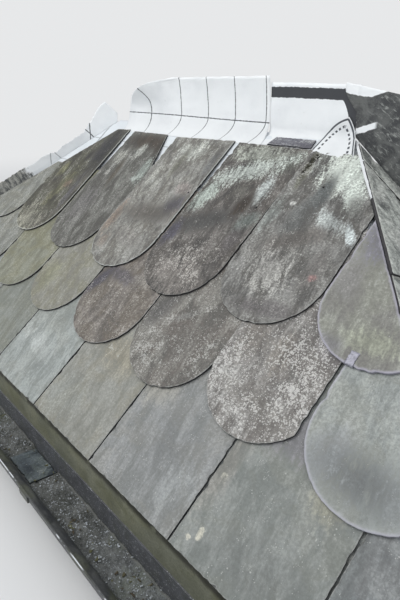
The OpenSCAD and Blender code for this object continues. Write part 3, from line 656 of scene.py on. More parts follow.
STAINS = {
    (0, -0.5): [
        (-27, 208, 60, 60, 0, 0.4, (150, 154, 148), 0.5),
        (-11, 117, 100, 26, 12, 0.5, (196, 200, 198), 0.35), (57, 63, 60, 60, 0, 0.5, (150, 156, 154), 0.6),
    ],
    (0, 0.5): [
        (10, 218, 90, 44, 0, 0.5, (160, 154, 136), 0.6), (-63, 63, 70, 70, 0, 0.4, (146, 150, 145), 0.5),
    ],
    (0, 1.5): [
        (-100, 209, 60, 50, 0, 0.5, (172, 168, 156), 0.5), (14, 125, 90, 90, 30, 0.5, (138, 141, 142), 0.5),
        (87, 63, 50, 60, 0, 0.4, (158, 162, 162), 0.5),
    ],
    (0, 2.5): [
        (-32, 261, 130, 46, 0, 0.5, (128, 126, 132), 0.7), (29, 63, 110, 60, 0, 0.4, (128, 132, 130), 0.6),
        (-118, 157, 30, 90, 0, 0.4, (150, 146, 140), 0.5),
        (70, 204, 36, 40, -30, 0.4, (158, 156, 138), 0.6),
        (-108, 140, 6, 10, -20, 0.7, (198, 196, 184), 1.0),
        (-84, 43, 6, 12, -15, 0.7, (204, 202, 188), 1.0), (-100, 28, 5, 4, 0, 0.7, (196, 194, 182), 1.0),
    ],
    (0, 3.5): [(-118, 136, 16, 90, -6, 0.3, (112, 116, 116), 0.8)],
    (1, -1): [(-64, 94, 40, 60, 0, 0.5, (136, 137, 110), 0.5)],
    (1, 0): [
        (-105, 160, 26, 70, 20, 0.5, (78, 76, 86), 0.95), (-40, 195, 70, 22, 0, 0.6, (86, 83, 88), 0.85),
        (60, 205, 60, 22, 0, 0.6, (142, 138, 132), 0.7),
    ],
    (1, 1): [
        (-95, 165, 30, 60, 20, 0.5, (92, 91, 90), 0.8), (-18, 170, 14, 44, 50, 0.6, (158, 158, 154), 0.7),
        (30, 110, 50, 60, 0, 0.5, (108, 106, 102), 0.5),
    ],
    (1, 2): [
        (85, 250, 60, 50, 20, 0.5, (134, 130, 134), 0.7), (-85, 195, 40, 60, 0, 0.5, (108, 103, 97), 0.75),
        (-10, 190, 30, 60, 0, 0.6, (112, 106, 98), 0.6), (15, 80, 90, 26, 10, 0.6, (116, 113, 108), 0.6),
    ],
    (1, 3): [
        (-95, 70, 40, 60, 20, 0.4, (150, 152, 156), 0.5), (-30, 60, 100, 50, 0, 0.6, (124, 128, 129), 0.85),
    ],
    (2, -2.5): [
        (62, 400, 56, 120, -10, 0.6, (48, 48, 51), 0.95), (0, 365, 20, 40, 0, 0.5, (54, 52, 54), 0.8),
        (0, 213, 30, 120, 4, 0.6, (102, 101, 76), 0.7), (-80, 285, 24, 40, 0, 0.5, (122, 122, 88), 0.6),
        (-53, 213, 30, 30, 0, 0.5, (74, 72, 60), 0.7), (25, 228, 22, 20, 0, 0.7, (112, 95, 84), 0.6),
        (80, 200, 16, 90, -8, 0.6, (82, 81, 86), 0.7), (-30, 50, 90, 54, 20, 0.8, (152, 151, 138), 0.8),
    ],
    (2, -1.5): [
        (0, 466, 140, 40, 0, 0.5, (68, 60, 52), 0.95), (88, 428, 28, 66, -22, 0.4, (52, 47, 42), 0.95),
        (0, 417, 22, 40, 20, 0.6, (156, 158, 152), 0.95),
        (-76, 386, 30, 26, 20, 0.6, (152, 153, 146), 0.85),
        (95, 345, 26, 62, -14, 0.6, (146, 154, 148), 0.9), (-73, 310, 13, 14, 0, 0.4, (168, 168, 162), 0.8),
        (85, 309, 14, 14, 0, 0.4, (176, 184, 178), 0.9), (-32, 317, 14, 76, -11, 0.5, (82, 76, 66), 0.85),
        (30, 300, 16, 80, -12, 0.6, (128, 130, 124), 0.6), (-50, 170, 50, 90, -11, 0.5, (96, 94, 94), 0.7),
        (-18, 80, 20, 80, -12, 0.6, (136, 136, 132), 0.6),
    ],
    (2, -0.5): [
        (-5, 452, 40, 72, 80, 0.6, (180, 183, 176), 0.8),
        (-33, 402, 16, 70, -4, 0.5, (112, 112, 102), 0.85),
        (92, 421, 16, 66, -5, 0.5, (104, 105, 105), 0.85), (81, 245, 36, 56, 30, 0.8, (84, 82, 88), 0.95),
        (10, 205, 110, 34, -6, 0.9, (98, 94, 89), 0.85), (-112, 155, 20, 62, 0, 0.9, (134, 118, 105), 0.7),
        (-75, 80, 20, 26, 0, 0.9, (138, 125, 114), 0.6), (-80, 305, 30, 60, -5, 0.6, (166, 167, 160), 0.7),
        (-81, 313, 12, 12, 0, 0.4, (190, 192, 186), 0.9), (68, 310, 34, 24, 20, 0.6, (156, 146, 142), 0.6),
        (10, 110, 70, 26, 12, 0.6, (116, 112, 108), 0.5),
    ],
    (2, 0.5): [
        (-7, 470, 120, 40, 0, 0.7, (158, 162, 153), 0.95), (90, 455, 34, 44, 8, 0.5, (94, 96, 90), 0.9),
        (-15, 408, 40, 116, 62, 0.8, (184, 191, 185), 0.95),
        (-97, 303, 32, 64, 18, 0.6, (166, 175, 168), 0.95),
        (77, 352, 22, 52, -9, 0.6, (172, 178, 176), 0.9), (10, 340, 40, 40, 40, 0.5, (112, 110, 104), 0.9),
        (-38, 226, 34, 118, 65, 0.8, (74, 74, 73), 0.95), (47, 300, 24, 46, 10, 0.4, (54, 47, 41), 1.0),
        (94, 255, 26, 42, 30, 0.5, (112, 120, 116), 0.8), (-106, 166, 22, 54, 7, 0.5, (74, 72, 82), 0.95),
        (96, 190, 26, 50, 0, 0.5, (96, 92, 93), 0.7), (0, 50, 90, 60, 0, 0.6, (138, 133, 128), 0.6),
    ],
    (2, 1.5): [
        (-16, 458, 84, 70, 45, 0.8, (214, 221, 213), 0.95),
        (42, 408, 26, 88, -22, 0.8, (190, 197, 190), 0.9), (-20, 378, 24, 70, -4, 0.5, (84, 88, 88), 0.95),
        (-36, 300, 36, 70, 0, 0.5, (96, 98, 97), 0.85), (104, 286, 12, 42, -36, 0.5, (206, 214, 214), 1.0),
        (45, 307, 22, 52, -70, 0.7, (180, 186, 184), 0.85), (80, 350, 20, 40, -30, 0.6, (96, 96, 93), 0.8),
        (-12, 240, 30, 90, 60, 0.5, (104, 100, 96), 0.85),
        (-110, 300, 20, 60, 0, 0.6, (140, 146, 142), 0.7), (-16, 151, 50, 62, 9, 0.9, (160, 159, 155), 0.8),
        (80, 177, 24, 66, 0, 0.5, (108, 105, 102), 0.7), (31, 66, 90, 22, -8, 0.5, (100, 97, 97), 0.85),
        (89, 165, 11, 9, 0, 0.4, (156, 118, 116), 0.6), (-76, 336, 9, 8, 0, 0.3, (216, 216, 212), 1.0),
        (-109, 446, 13, 62, -10, 0.8, (84, 84, 72), 0.95),
    ],
    (2, 2.5): [
        (-80, 300, 44, 80, -13, 0.8, (120, 119, 128), 0.9),
        (-95, 185, 30, 56, -14, 0.5, (128, 126, 126), 0.7),
        (10, 80, 60, 34, -10, 0.5, (166, 170, 152), 0.7), (-60, 50, 34, 26, 0, 0.4, (132, 131, 136), 0.7),
    ],
}

RETURN_LOOKS = {
    0: {"light": (142, 147, 145), "dark": (112, 117, 116)},
    1: {"light": (146, 150, 147), "dark": (116, 120, 118), "specks": 0.2},
    2: {
        "light": (192, 196, 190), "dark": (120, 124, 122), "patch": (200, 201, 192),
        "patch_amount": 0.5, "scratch": 1.3, "specks": 0.3,
    },
    3: {
        "light": (186, 190, 184), "dark": (96, 99, 98), "patch": (204, 206, 200), "patch_amount": 0.6,
        "scratch": 1.8, "specks": 0.3, "turn": 20.0,
    },
}


def look_of(course, centre, on_return):
    """The look of one slate, its own where it has one."""
    look = dict(BASE_LOOK)
    if course == 0:
        look.update(EAVES_LOOK)
    if on_return:
        look.update(RETURN_LOOKS[course])
        return look
    look.update(LOOKS.get((course, centre), {}))
    look["stains"] = STAINS.get((course, centre), [])
    return look


def slate_material(name, look, seed):
    """Riven slate with its own stains, specks of lichen and worn edges; the dark sides of old slates are
    partly painted shade.
    """
    material, graph, shader = new_material(name)
    local = graph.place()
    shifted = graph.vector("ADD", local, (0.37 * seed, 0.91 * seed, 0.13 * seed))
    tones = {name.capitalize(): tone(*look[name]) for name in ("light", "dark", "patch")}
    marks = {"Patch amount": look["patch_amount"], "Scratch": look["scratch"], "Fine": look["fine"]}
    turn = math.radians(look["turn"])
    stone = graph.group("riven", {"Vector": shifted, "Turn": turn, **tones, **marks})
    colour = stone["Color"]
    shade_of_stone = graph.grey(stone["Shade"])
    for x, s, wide, long, turn, ragged, shade, strength in look["stains"]:
        mask = soft_patch(graph, local, stone["Grain"], x, s, wide, long, turn, ragged)
        factor = graph.times(mask, strength)
        colour = graph.mix(factor, colour, graph.mix(1.0, tone(*shade), shade_of_stone, "MULTIPLY"))
    amount = look["specks"]
    for x, s, wide, long, turn, more in look["speck_patches"]:
        mask = soft_patch(graph, local, stone["Grain"], x, s, wide, long, turn, 0.5)
        amount = graph.scaled(mask, more, amount)
    crumbs = {"Vector": shifted, "Amount": amount, "Scale": SPECKS_PER_METRE}
    specks = graph.group("specks", crumbs)["Mask"]
    colour = graph.mix(graph.times(specks, 0.8), colour, tone(*look["speck_tone"]))
    rim = graph.stored("rim_mm")
    edges = {"Vector": shifted, "Distance": rim, "Width": look["arris_width"], "Ragged": 2.6}
    wear = graph.group("edge", edges)
    arris = graph.times(wear["Arris"], look["arris_amount"])
    colour = graph.mix(arris, colour, tone(*look["arris"]))
    # The sides take the look's side colour; on old slates that is dirt plus painted shade.
    colour = graph.mix(wear["Side"], colour, tone(*look["side"]))
    shader.inputs["Specular IOR Level"].default_value = 0.4
    height = graph.scaled(specks, 0.5, stone["Height"])
    finish_shader(graph, shader, colour, stone["Roughness"], height, 0.55, 0.0011)
    return material


def soft_patch(graph, local, grain, x, s, wide, long, turn, ragged):
    """Mask of one stain or drift of lichen, in the numbers of the slate tables."""
    spot = {"Centre": (x * MM, s * MM, 0.0), "Reach": (wide * MM, long * MM, 1.0)}
    values = {"Vector": local, "Turn": math.radians(turn), "Ragged": ragged, "Grain": grain}
    return graph.group("patch", {**spot, **values})["Mask"]


# Meshes


def ripple(x, y, z):
    """Smooth random rise and fall, -1 to 1, always the same at one place."""
    return noise.noise(Vector((x, y, z)))


def new_piece(name, points, faces, material, smooth=True, stored=None):
    """A piece from points in millimetres, with named values kept on its points."""
    mesh = bpy.data.meshes.new(name)
    mesh.from_pydata([tuple(v * MM for v in p) for p in points], [], faces)
    flags = smooth if isinstance(smooth, list) else [smooth] * len(faces)
    mesh.polygons.foreach_set("use_smooth", flags)
    for label, values in (stored or {}).items():
        attribute = mesh.attributes.new(label, "FLOAT", "POINT")
        attribute.data.foreach_set("value", values)
    mesh.materials.append(material)
    mesh.update()
    return bpy.data.objects.new(name, mesh)


def grid_faces(tall, row, base=0, flip=False):
    """Quads between rows of points, each row of so many points."""
    faces = []
    for i in range(tall):
        for j in range(row - 1):
            a = base + i * row + j
            faces.append((a, a + row, a + row + 1, a + 1) if flip else (a, a + 1, a + row + 1, a + row))
    return faces


def fill_outline(outline, filling):
    """Triangles over an outline and the points within it."""
    flat = np.concatenate([outline, filling])
    count = len(outline)
    ring = [(i, (i + 1) % count) for i in range(count)]
    return geometry.delaunay_2d_cdt([Vector(p) for p in flat], ring, [list(range(count))], 1, 1e-5)


def thicken(obj, thickness, offset=-1.0):
    """Gives a thin piece its thickness, in millimetres."""
    solid = obj.modifiers.new("Thickness", "SOLIDIFY")
    solid.thickness = thickness * MM
    solid.offset = offset


# Slates


def course_start(course):
    """Plan y and height of a course's tail line, in millimetres."""
    return -DEPTH + course * GAUGE * COS_PITCH, Z_EAVE + course * GAUGE * SIN_PITCH


def slate_frame(course, centre_x, on_return):
    """Matrix of one slate: x along the eaves, y up the slate, z off its face, in metres."""
    y, z = course_start(course)
    lean = PITCH - TILT
    up, out = math.cos(lean), math.sin(lean)
    if on_return:
        origin = Vector((APEX_X - y, APEX_X - centre_x, z)) * MM
        columns = ((0, 1, 0), (-up, 0, out), (out, 0, up))
    else:
        origin = Vector((centre_x, y, z)) * MM
        columns = ((1, 0, 0), (0, up, out), (0, -out, up))
    matrix = Matrix(columns).transposed().to_4x4()
    matrix.translation = origin
    return matrix


def slate_limits(course, centre_x, on_return, rake):
    """Half planes a x + b s <= c that the roof's hip and walls cut the slate to."""
    y, _ = course_start(course)
    run = math.cos(PITCH - TILT)
    limits = [(1.0, run, APEX_X - y - ROOT2 * MITRE_GAP / 2 - centre_x, "hip")]
    if on_return:
        limits.append((-1.0, 0.0, centre_x - APEX_X - WALL_GAP, "cut"))
    else:
        limits.append((-1.0, run, centre_x - LEFT_X - y - ROOT2 * rake, "cut"))
        limits.append((0.0, run, -WALL_GAP - y, "cut"))
    return limits


def slate_shape(round_tail, laid):
    """Corners of a slate, counter-clockwise, with the kind of the edge after each, as it was laid.

    laid is a nudge sideways, how far its tail is trimmed back, and a lean to the left in degrees.
    """
    aside, up, lean = laid
    turn = math.radians(lean)
    placed = []
    for (x, s), kind in whole_slate(round_tail):
        s = min(s + up, SLATE_L)
        x, s = x * math.cos(turn) - s * math.sin(turn), s * math.cos(turn) + x * math.sin(turn)
        placed.append(((x + aside, s), kind))
    return placed


def whole_slate(round_tail):
    """Corners and edge kinds of an uncut slate, its tail at the bottom."""
    half = SLATE_W / 2
    if not round_tail:
        corners = [(-half, 0), (half, 0), (half, SLATE_L), (-half, SLATE_L)]
        return list(zip(corners, ("tail", "side", "head", "side")))
    arc = []
    for i in range(TAIL_STEPS + 1):
        angle = math.pi * (1 + i / TAIL_STEPS)
        arc.append(((half * math.cos(angle), half + half * math.sin(angle)), "tail"))
    arc[-1] = (arc[-1][0], "side")
    return arc + [((half, SLATE_L), "head"), ((-half, SLATE_L), "side")]


def clip(shape, a, b, c, kind):
    """shape cut to a x + b s <= c; the new edge is of that kind."""
    kept = []
    for i, ((x, s), edge) in enumerate(shape):
        (x2, s2), _ = shape[(i + 1) % len(shape)]
        here, there = a * x + b * s - c, a * x2 + b * s2 - c
        if here <= 0:
            kept.append(((x, s), edge))
        if (here < 0 < there) or (there < 0 < here):
            t = here / (here - there)
            point = (x + t * (x2 - x), s + t * (s2 - s))
            kept.append((point, kind if here < 0 else edge))
    return kept


def area_of(shape):
    """Area of a shape in square millimetres."""
    points = [p for p, _ in shape]
    total = 0.0
    for i, (x, s) in enumerate(points):
        x2, s2 = points[(i + 1) % len(points)]
        total += x * s2 - x2 * s
    return abs(total) / 2


def resample(shape, seen_to, fine, coarse):
    """Points along the outline, close together where it shows, with their edge kinds."""
    points, kinds = [], []
    for i, ((x, s), kind) in enumerate(shape):
        (x2, s2), _ = shape[(i + 1) % len(shape)]
        length = math.hypot(x2 - x, s2 - s)
        step = fine if min(s, s2) < seen_to else coarse
        count = max(1, math.ceil(length / step))
        for j in range(count):
            points.append((x + (x2 - x) * j / count, s + (s2 - s) * j / count))
            kinds.append(kind)
    return np.array(points), kinds


def inward(points):
    """Unit normals pointing into a counter-clockwise outline."""
    along = np.roll(points, -1, 0) - np.roll(points, 1, 0)
    along /= np.linalg.norm(along, axis=1)[:, None] + 1e-9
    return np.stack([-along[:, 1], along[:, 0]], 1)


def chipping(points, kinds, seed, depth):
    """How far each outline point is chipped back, and how deep and wide its arris is spalled."""
    rng = np.random.default_rng(seed)
    steps = np.linalg.norm(np.roll(points, -1, 0) - points, axis=1)
    arc = np.concatenate([[0.0], np.cumsum(steps)[:-1]])
    length = float(steps.sum())
    wander = np.array([noise.fractal(Vector((a * 0.09, seed * 1.7, 3.1)), 0.9, 2.2, 3) for a in arc])
    back = depth * np.clip(0.45 + 0.8 * wander, 0.0, 2.0)
    spall = 0.7 + 0.9 * np.abs(wander)
    width = 2.2 + 2.0 * np.abs(np.roll(wander, 7))
    for _ in range(int(length / 55)):
        middle = rng.uniform(0, length)
        half = rng.uniform(3.5, 11.0)
        bite = np.clip(1 - ((arc - middle) / half) ** 2, 0, 1)
        back += bite * rng.uniform(0.4, 2.2) * depth
        spall += bite * rng.uniform(0.4, 2.2)
        width += bite * rng.uniform(1.0, 5.0)
    share = np.array([{"hip": 0.3, "cut": 0.8, "head": 0.6}.get(k, 1.0) for k in kinds])
    return back * share, spall * (0.4 + 0.6 * share), width


def near_outline(points, outline):
    """Distance from each point to the outline, and the nearest outline index."""
    leg = np.roll(outline, -1, 0) - outline
    size = (leg**2).sum(1) + 1e-9
    best = np.full(len(points), 1e9)
    index = np.zeros(len(points), int)
    for first in range(0, len(points), 800):
        part = points[first : first + 800]
        away = part[:, None, :] - outline[None, :, :]
        t = np.clip((away * leg).sum(2) / size, 0, 1)
        gap = np.linalg.norm(away - t[..., None] * leg, axis=2)
        best[first : first + 800] = gap.min(1)
        index[first : first + 800] = gap.argmin(1)
    return best, index


def inside(points, outline):
    """Which points lie inside the outline."""
    result = np.zeros(len(points), bool)
    x, y = points[:, 0], points[:, 1]
    for (x1, y1), (x2, y2) in zip(outline, np.roll(outline, -1, 0)):
        if y1 == y2:
            continue
        crosses = ((y1 > y) != (y2 > y)) & (x < (x2 - x1) * (y - y1) / (y2 - y1) + x1)
        result ^= crosses
    return result


def riven(x, s, seed, relief):
    """Height of the split face below the slate's own plane, in millimetres."""
    slow = ripple(x / 95, s / 190, seed * 2.3)
    field = noise.fractal(Vector((x / 46, s / 105, seed * 1.1)), 0.8, 2.1, 3)
    level = field * 3.4
    base = math.floor(level)
    part = level - base
    part = min(1.0, max(0.0, (part - 0.38) / 0.24))
    stepped = (base + part * part * (3 - 2 * part)) / 3.4
    fine = ripple(x / 5.5, s / 15, seed * 3.7)
    value = 0.5 + 0.22 * slow + 0.34 * stepped + 0.1 * fine
    return -relief * min(1.0, max(0.0, value))


def fill_points(outline, seen_to, fine, coarse, seed):
    """Points inside the outline: rows that follow the rim, then a jittered grid."""
    rng = np.random.default_rng(seed + 500)
    lean = inward(outline)
    low, high = outline.min(0), outline.max(0)
    rows = [outline + lean * 1.7, outline[::2] + lean[::2] * 4.2]
    gaps = [1.2, 3.2]
    grid = []
    s = low[1]
    while s < high[1]:
        step = fine if s < seen_to else coarse
        xs = np.arange(low[0], high[0], step)
        line = np.stack([xs, np.full(len(xs), s)], 1)
        grid.append(line + rng.uniform(-0.28, 0.28, line.shape) * step)
        s += step
    rows.append(np.concatenate(grid))
    gaps.append(6.2)
    kept = []
    for points, gap in zip(rows, gaps):
        points = points[inside(points, outline)]
        apart, _ = near_outline(points, outline)
        kept.append(points[apart > gap])
    return np.concatenate(kept)


def hole_rings(holes):
    """Points of the punched nail holes: middle, wall and the flaked rim."""
    points = []
    for x, s in holes:
        points.append((x, s))
        for radius, count in ((2.6, 12), (3.0, 12), (5.0, 16)):
            for i in range(count):
                angle = 2 * math.pi * i / count
                points.append((x + radius * math.cos(angle), s + radius * math.sin(angle)))
    return np.array(points).reshape(-1, 2)


def slate_piece(name, finish, shape, seed, seen_to, look, sizes, lean=0.0, thickness=SLATE_T):
    """A closed slate: riven face, chipped rim, layered sides and a flat bed."""
    fine = sizes.fine_step / MM
    outline, kinds = resample(shape, seen_to, 3.2, 16.0)
    back, spall, width = chipping(outline, kinds, seed, sizes.chip_depth / MM)
    outline = outline + inward(outline) * back[:, None]
    filling = fill_points(outline, seen_to, fine, 24.0, seed)
    holes = hole_rings(look["holes"])
    if len(holes):
        middles = np.array(look["holes"])
        apart = np.linalg.norm(filling[:, None] - middles[None], axis=2).min(1)
        filling = np.concatenate([filling[apart > 6.0], holes])
    count = len(outline)
    spots, _, triangles, origins = fill_outline(outline, filling)[:4]
    order = [o[0] if o else -1 for o in origins]
    relief = sizes.riven_relief / MM
    apart, near = near_outline(np.array([tuple(p) for p in spots]), outline)
    verts, rim = [], []
    for i, spot in enumerate(spots):
        x, s = spot
        z = riven(x, s, seed, relief)
        fall = max(0.0, 1 - apart[i] / width[near[i]])
        z -= spall[near[i]] * fall * fall
        for hx, hs in look["holes"]:
            gap = math.hypot(x - hx, s - hs)
            if gap < HOLE_R:
                z = -thickness * 0.8
            elif gap < HOLE_R + 2.0:
                z -= 1.1
        verts.append((x, s, max(z, -thickness * 0.8)))
        punched = any(math.hypot(x - hx, s - hs) < 3.2 for hx, hs in look["holes"])
        rim.append(-1.0 if punched else apart[i])
    place = {o: i for i, o in enumerate(order) if 0 <= o < count}
    if len(place) < count:
        raise RuntimeError(f"{name}: the outline crosses itself")
    top_ring = [place[i] for i in range(count)]
    faces = [tuple(t) for t in triangles]
    smooth = [True] * len(faces)
    tops = len(verts)
    slant = {"hip": -1.0, "cut": 0.0}
    for level, share in ((1, 0.5), (2, 1.0)):
        for i in range(count):
            x, s = outline[i]
            drift = 0.35 * ripple(i * 0.37, seed, level * 5.0)
            tuck = (0.3 + drift) if level == 1 else 0.5
            normal = lean_in(outline, i)
            shift = slant.get(kinds[i], 0.0) * math.sin(lean) * thickness * share
            verts.append((x + normal[0] * tuck + shift, s + normal[1] * tuck, -thickness * share))
            rim.append(-1.0)
    rings = [top_ring, list(range(tops, tops + count)), list(range(tops + count, tops + 2 * count))]
    for upper, lower in zip(rings, rings[1:]):
        for i in range(count):
            j = (i + 1) % count
            faces.append((upper[i], lower[i], lower[j], upper[j]))
            smooth.append(False)
    faces.append(tuple(reversed(rings[2])))
    smooth.append(False)
    return new_piece(name, verts, faces, slate_material(finish, look, seed), smooth, {"rim_mm": rim})


def lean_in(outline, i):
    """Inward normal at one outline point."""
    before, after = outline[i - 1], outline[(i + 1) % len(outline)]
    dx, dy = after[0] - before[0], after[1] - before[1]
    size = math.hypot(dx, dy) + 1e-9
    return -dy / size, dx / size


def show(obj, stands_for=()):
    """Links a finished piece, lets it ride on the roof and hides the frame's parts that it stands for."""
    bpy.context.scene.collection.objects.link(obj)
    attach(obj, "root")
    if stands_for:
        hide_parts(*stands_for)


def lay_course(course, on_return, name, sizes):
    """One course of slates on one face. Each slate is a piece, and stands for the course's node."""
    shift = 0.0 if course % 2 else 0.5
    rake = RAKE_GAP if course == 2 else LOW_RAKE_GAP
    laid = 0
    for k in range(-9, 8):
        centre = k + shift
        centre_x = JOINT_X + centre * UNIT + (0.0 if on_return else COURSE_SHIFT[course])
        look = look_of(course, centre, on_return)
        shape = slate_shape(course > 0, look["laid"])
        for a, b, c, kind in slate_limits(course, centre_x, on_return, rake):
            shape = clip(shape, a, b, c, kind)
            if len(shape) < 3:
                break
        if len(shape) < 3 or area_of(shape) < 400:
            continue
        for x1, s1, x2, s2 in look["cuts"]:
            a, b = s2 - s1, x1 - x2
            shape = clip(shape, a, b, a * x1 + b * s1, "cut")
        if on_return:
            shape = [((-x, s), kind) for (x, s), kind in mirrored(shape)]
        bare = course == 2 or (on_return and course == 3)
        seen_to = SEEN_WHOLE if bare else SEEN_TAIL
        seed = int(course * 40 + k + 12 + (200 if on_return else 0))
        laid += 1
        piece = f"{name}_{laid:02d}"
        obj = slate_piece(piece, f"Slate {piece}", shape, seed, seen_to, look, sizes, PITCH - TILT)
        obj.matrix_world = slate_frame(course, centre_x, on_return)
        show(obj, (f"{name}s",))


def mirrored(shape):
    """The outline in the other order, keeping each edge's kind, so that its mirror image runs right."""
    points = [p for p, _ in shape]
    kinds = [k for _, k in shape]
    points = points[::-1]
    kinds = kinds[::-1][1:] + [kinds[-1]]
    return list(zip(points, kinds))


# Sheets


def sheet_object(name, levels, wide, place, material):
    """A thin sheet. place(level, j) gives each point, and where it lies when the sheet is flat."""
    both = [place(level, j) for level in levels for j in range(wide + 1)]
    faces = grid_faces(len(levels) - 1, wide + 1)
    obj = new_piece(name, [point for point, _ in both], faces, material)
    flat = np.array([spot for _, spot in both], np.float32) * MM
    attribute = obj.data.attributes.new("sheet_uv", "FLOAT_VECTOR", "POINT")
    attribute.data.foreach_set("vector", flat.ravel())
    thicken(obj, UNDERLAY_T, 0.0)
    return obj


def declare_sheet(obj, width, length, held, rests_on):
    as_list(rests_on)


def crease(x, y, seed, size):
    """Soft folds of a sheet, 0 to 1."""
    first = ripple(x / size, y / (size * 1.8), seed)
    second = ripple(x / (size * 0.35), y / (size * 0.5), seed + 4.0)
    ridge = 1 - abs(ripple(x / (size * 0.9), y / (size * 0.4), seed + 9.0)) * 3
    return max(0.0, min(1.0, 0.45 + 0.5 * first + 0.16 * second + 0.2 * max(0.0, ridge)))


def curl_foot(radius):
    """How far a turned-up sheet runs down the slope, to just behind the slates' heads."""
    head_y = slope_point(0, TOP_OF_SLATES, -LIFT)[1]
    start_y = (-WALL_CLEAR - radius) + radius * SIN_PITCH
    return max(12.0, (start_y - head_y) / COS_PITCH - 3)


def curl_path(radius, height, foot, lean):
    """Side view of a turned-up sheet: (plan y, height, distance along it) in millimetres."""
    centre_y = -WALL_CLEAR - radius
    centre_z = SHEET_Z + 0.5 + centre_y * TAN_PITCH + radius / COS_PITCH
    start_y = centre_y + radius * SIN_PITCH
    start_z = centre_z - radius * COS_PITCH
    base = (start_y + DEPTH) / COS_PITCH
    path = []
    foot_steps, steps = 8, 14
    for i in range(foot_steps + 1):
        back = foot * (1 - i / foot_steps)
        path.append((start_y - back * COS_PITCH, start_z - back * SIN_PITCH, base - back))
    turn = math.pi / 2 - PITCH
    for i in range(1, steps + 1):
        angle = -turn * (1 - i / steps)
        place = (centre_y + radius * math.cos(angle), centre_z + radius * math.sin(angle))
        path.append((*place, base + radius * turn * i / steps))
    top = SHEET_Z + height
    last = base + radius * turn
    for i in range(1, steps + 1):
        share = i / steps
        z = centre_z + (top - centre_z) * share
        path.append((-WALL_CLEAR - lean * share * share, z, last + (top - centre_z) * share))
    return path


def underlay_material(name, colours, printed=True, band=None, stitched=False, white=(255, 255, 255)):
    """White bonded sheet, creased and a little dusty, with soft patches of painted shade and generic
    printed lines; darker below 0.93 m up the flat sheet.
    """
    material, graph, shader = new_material(name)
    flat = graph.flat_place()
    local = graph.place()
    cloud = graph.noise(local, 9.0, 5.0, 0.6)
    weave = graph.noise(local, 1400.0, 2.0, 0.5)
    dirt = graph.noise(local, 46.0, 5.0, 0.7)
    white = tone(*white)
    colour = graph.mix(1.0, white, tuple(colours.sheet), "MULTIPLY")
    # Soft bluish-grey patches: painted shade of the sheet's wrinkles.
    colour = graph.mix(graph.ramp(cloud, 0.42, 0.78, 0.0, 0.3), colour, tone(206, 211, 216))
    colour = graph.mix(graph.ramp(dirt, 0.62, 0.8, 0.0, 0.3), colour, tone(172, 172, 164))
    parts = graph.parts(flat)
    # Darker, down to 0.83, below 0.93 m up the sheet laid flat.
    darker_below = graph.ramp(parts["Y"], 0.93, 1.0, 0.83, 1.0)
    colour = graph.shaded(colour, darker_below)
    if printed:
        grid = {"Vector": flat, "Start": GRID_START, "Pitch": GRID_PITCH, "Line": 0.0025}
        lines = graph.group("print", grid)["Mask"]
        strong = graph.ramp(parts["Y"], 0.88, 0.95, 0.5, 0.95)
        colour = graph.mix(graph.times(lines, strong), colour, tuple(colours.print_line))
    if band:
        low, high = band
        ragged = graph.scaled(graph.noise(flat, 70.0, 4.0, 0.6), 0.006, parts["Y"])
        deeper = graph.plus(ragged, graph.ramp(parts["X"], 0.085, 0.128, 0.0, 0.075))
        inner = graph.ramp(deeper, low, low + 0.0015)
        outer = graph.ramp(ragged, high, high + 0.0015, 1.0, 0.0)
        colour = graph.mix(graph.times(inner, outer), colour, tone(66, 68, 72))
    if stitched:
        rim = graph.stored("rim_mm")
        along = graph.stored("along_mm")
        solid = graph.times(graph.ramp(rim, 1.6, 2.4), graph.ramp(rim, 6.2, 7.0, 1.0, 0.0))
        dash = graph.times(graph.ramp(rim, 15.0, 15.8), graph.ramp(rim, 20.6, 21.4, 1.0, 0.0))
        beat = graph.math("FRACT", graph.math("DIVIDE", along, 15.0))
        dash = graph.times(dash, graph.ramp(beat, 0.42, 0.5))
        lines = graph.most(solid, dash)
        colour = graph.mix(lines, colour, tone(70, 74, 80))
    shader.inputs["Specular IOR Level"].default_value = 0.35
    height = graph.scaled(weave, 0.25, graph.noise(local, 60.0, 4.0, 0.55))
    finish_shader(graph, shader, colour, graph.ramp(cloud, 0.3, 0.7, 0.5, 0.66), height, 0.25, 0.0012)
    return material


def slope_point(x, s, n):
    """A point of the front slope's frame, in millimetres of the roof's frame."""
    return (x, -DEPTH + s * COS_PITCH - n * SIN_PITCH, Z_EAVE + s * SIN_PITCH + n * COS_PITCH)


def lay_slope_sheet(colours, sizes):
    """Underlay on the front slope: flat under the slates, creased where it is bare."""
    start, end = 96.0, (DEPTH - WALL_CLEAR - LIFT * SIN_PITCH) / COS_PITCH
    steps = 150

    def place(i, j):
        s = start + (end - start) * (i / steps) ** 0.8
        y = slope_point(0, s, -LIFT)[1]
        x0 = LEFT_X + ROOT2 * 4.0 + y + 0.5
        x1 = APEX_X - y - 1.0
        x = x0 + (x1 - x0) * j / steps
        bare = ease((s - TOP_OF_SLATES - 4) / 30)
        edge = (x - (LEFT_X + y)) / ROOT2
        bare = max(bare, ease((RAKE_GAP - 12 - edge) / 24) * ease((s - 430) / 80))
        bare *= ease((end - s) / 16) * ease((x1 - x) / 30) * ease((x - x0) / 10)
        n = -LIFT - 0.7 + bare * (0.4 + crease(x, s, 2.0, 70.0) * sizes.wrinkle / MM)
        return slope_point(x, s, n), (printed_x(x, 0.0), s, 0.0)

    dusty = underlay_material("Underlay on the slope", colours, white=(244, 247, 250))
    obj = sheet_object("front_underlay_sheet", range(steps + 1), steps, place, dusty)
    show(obj, ("front_underlay",))
    declare_sheet(obj, 3.3, 1.0, "laid", ["front_roof_boards"])


def printed_x(x, turned_up):
    """Where a place lies across the printed grid, which was laid askew and drawn out to the left."""
    askew = 45.0 * ease((x + 760) / 330) * (1 - turned_up)
    return x + askew + 0.00061 * max(0.0, -375.0 - x) ** 2


def ease(value):
    """value held between 0 and 1, easing out of 0 and into 1."""
    value = max(0.0, min(1.0, value))
    return value * value * (3 - 2 * value)


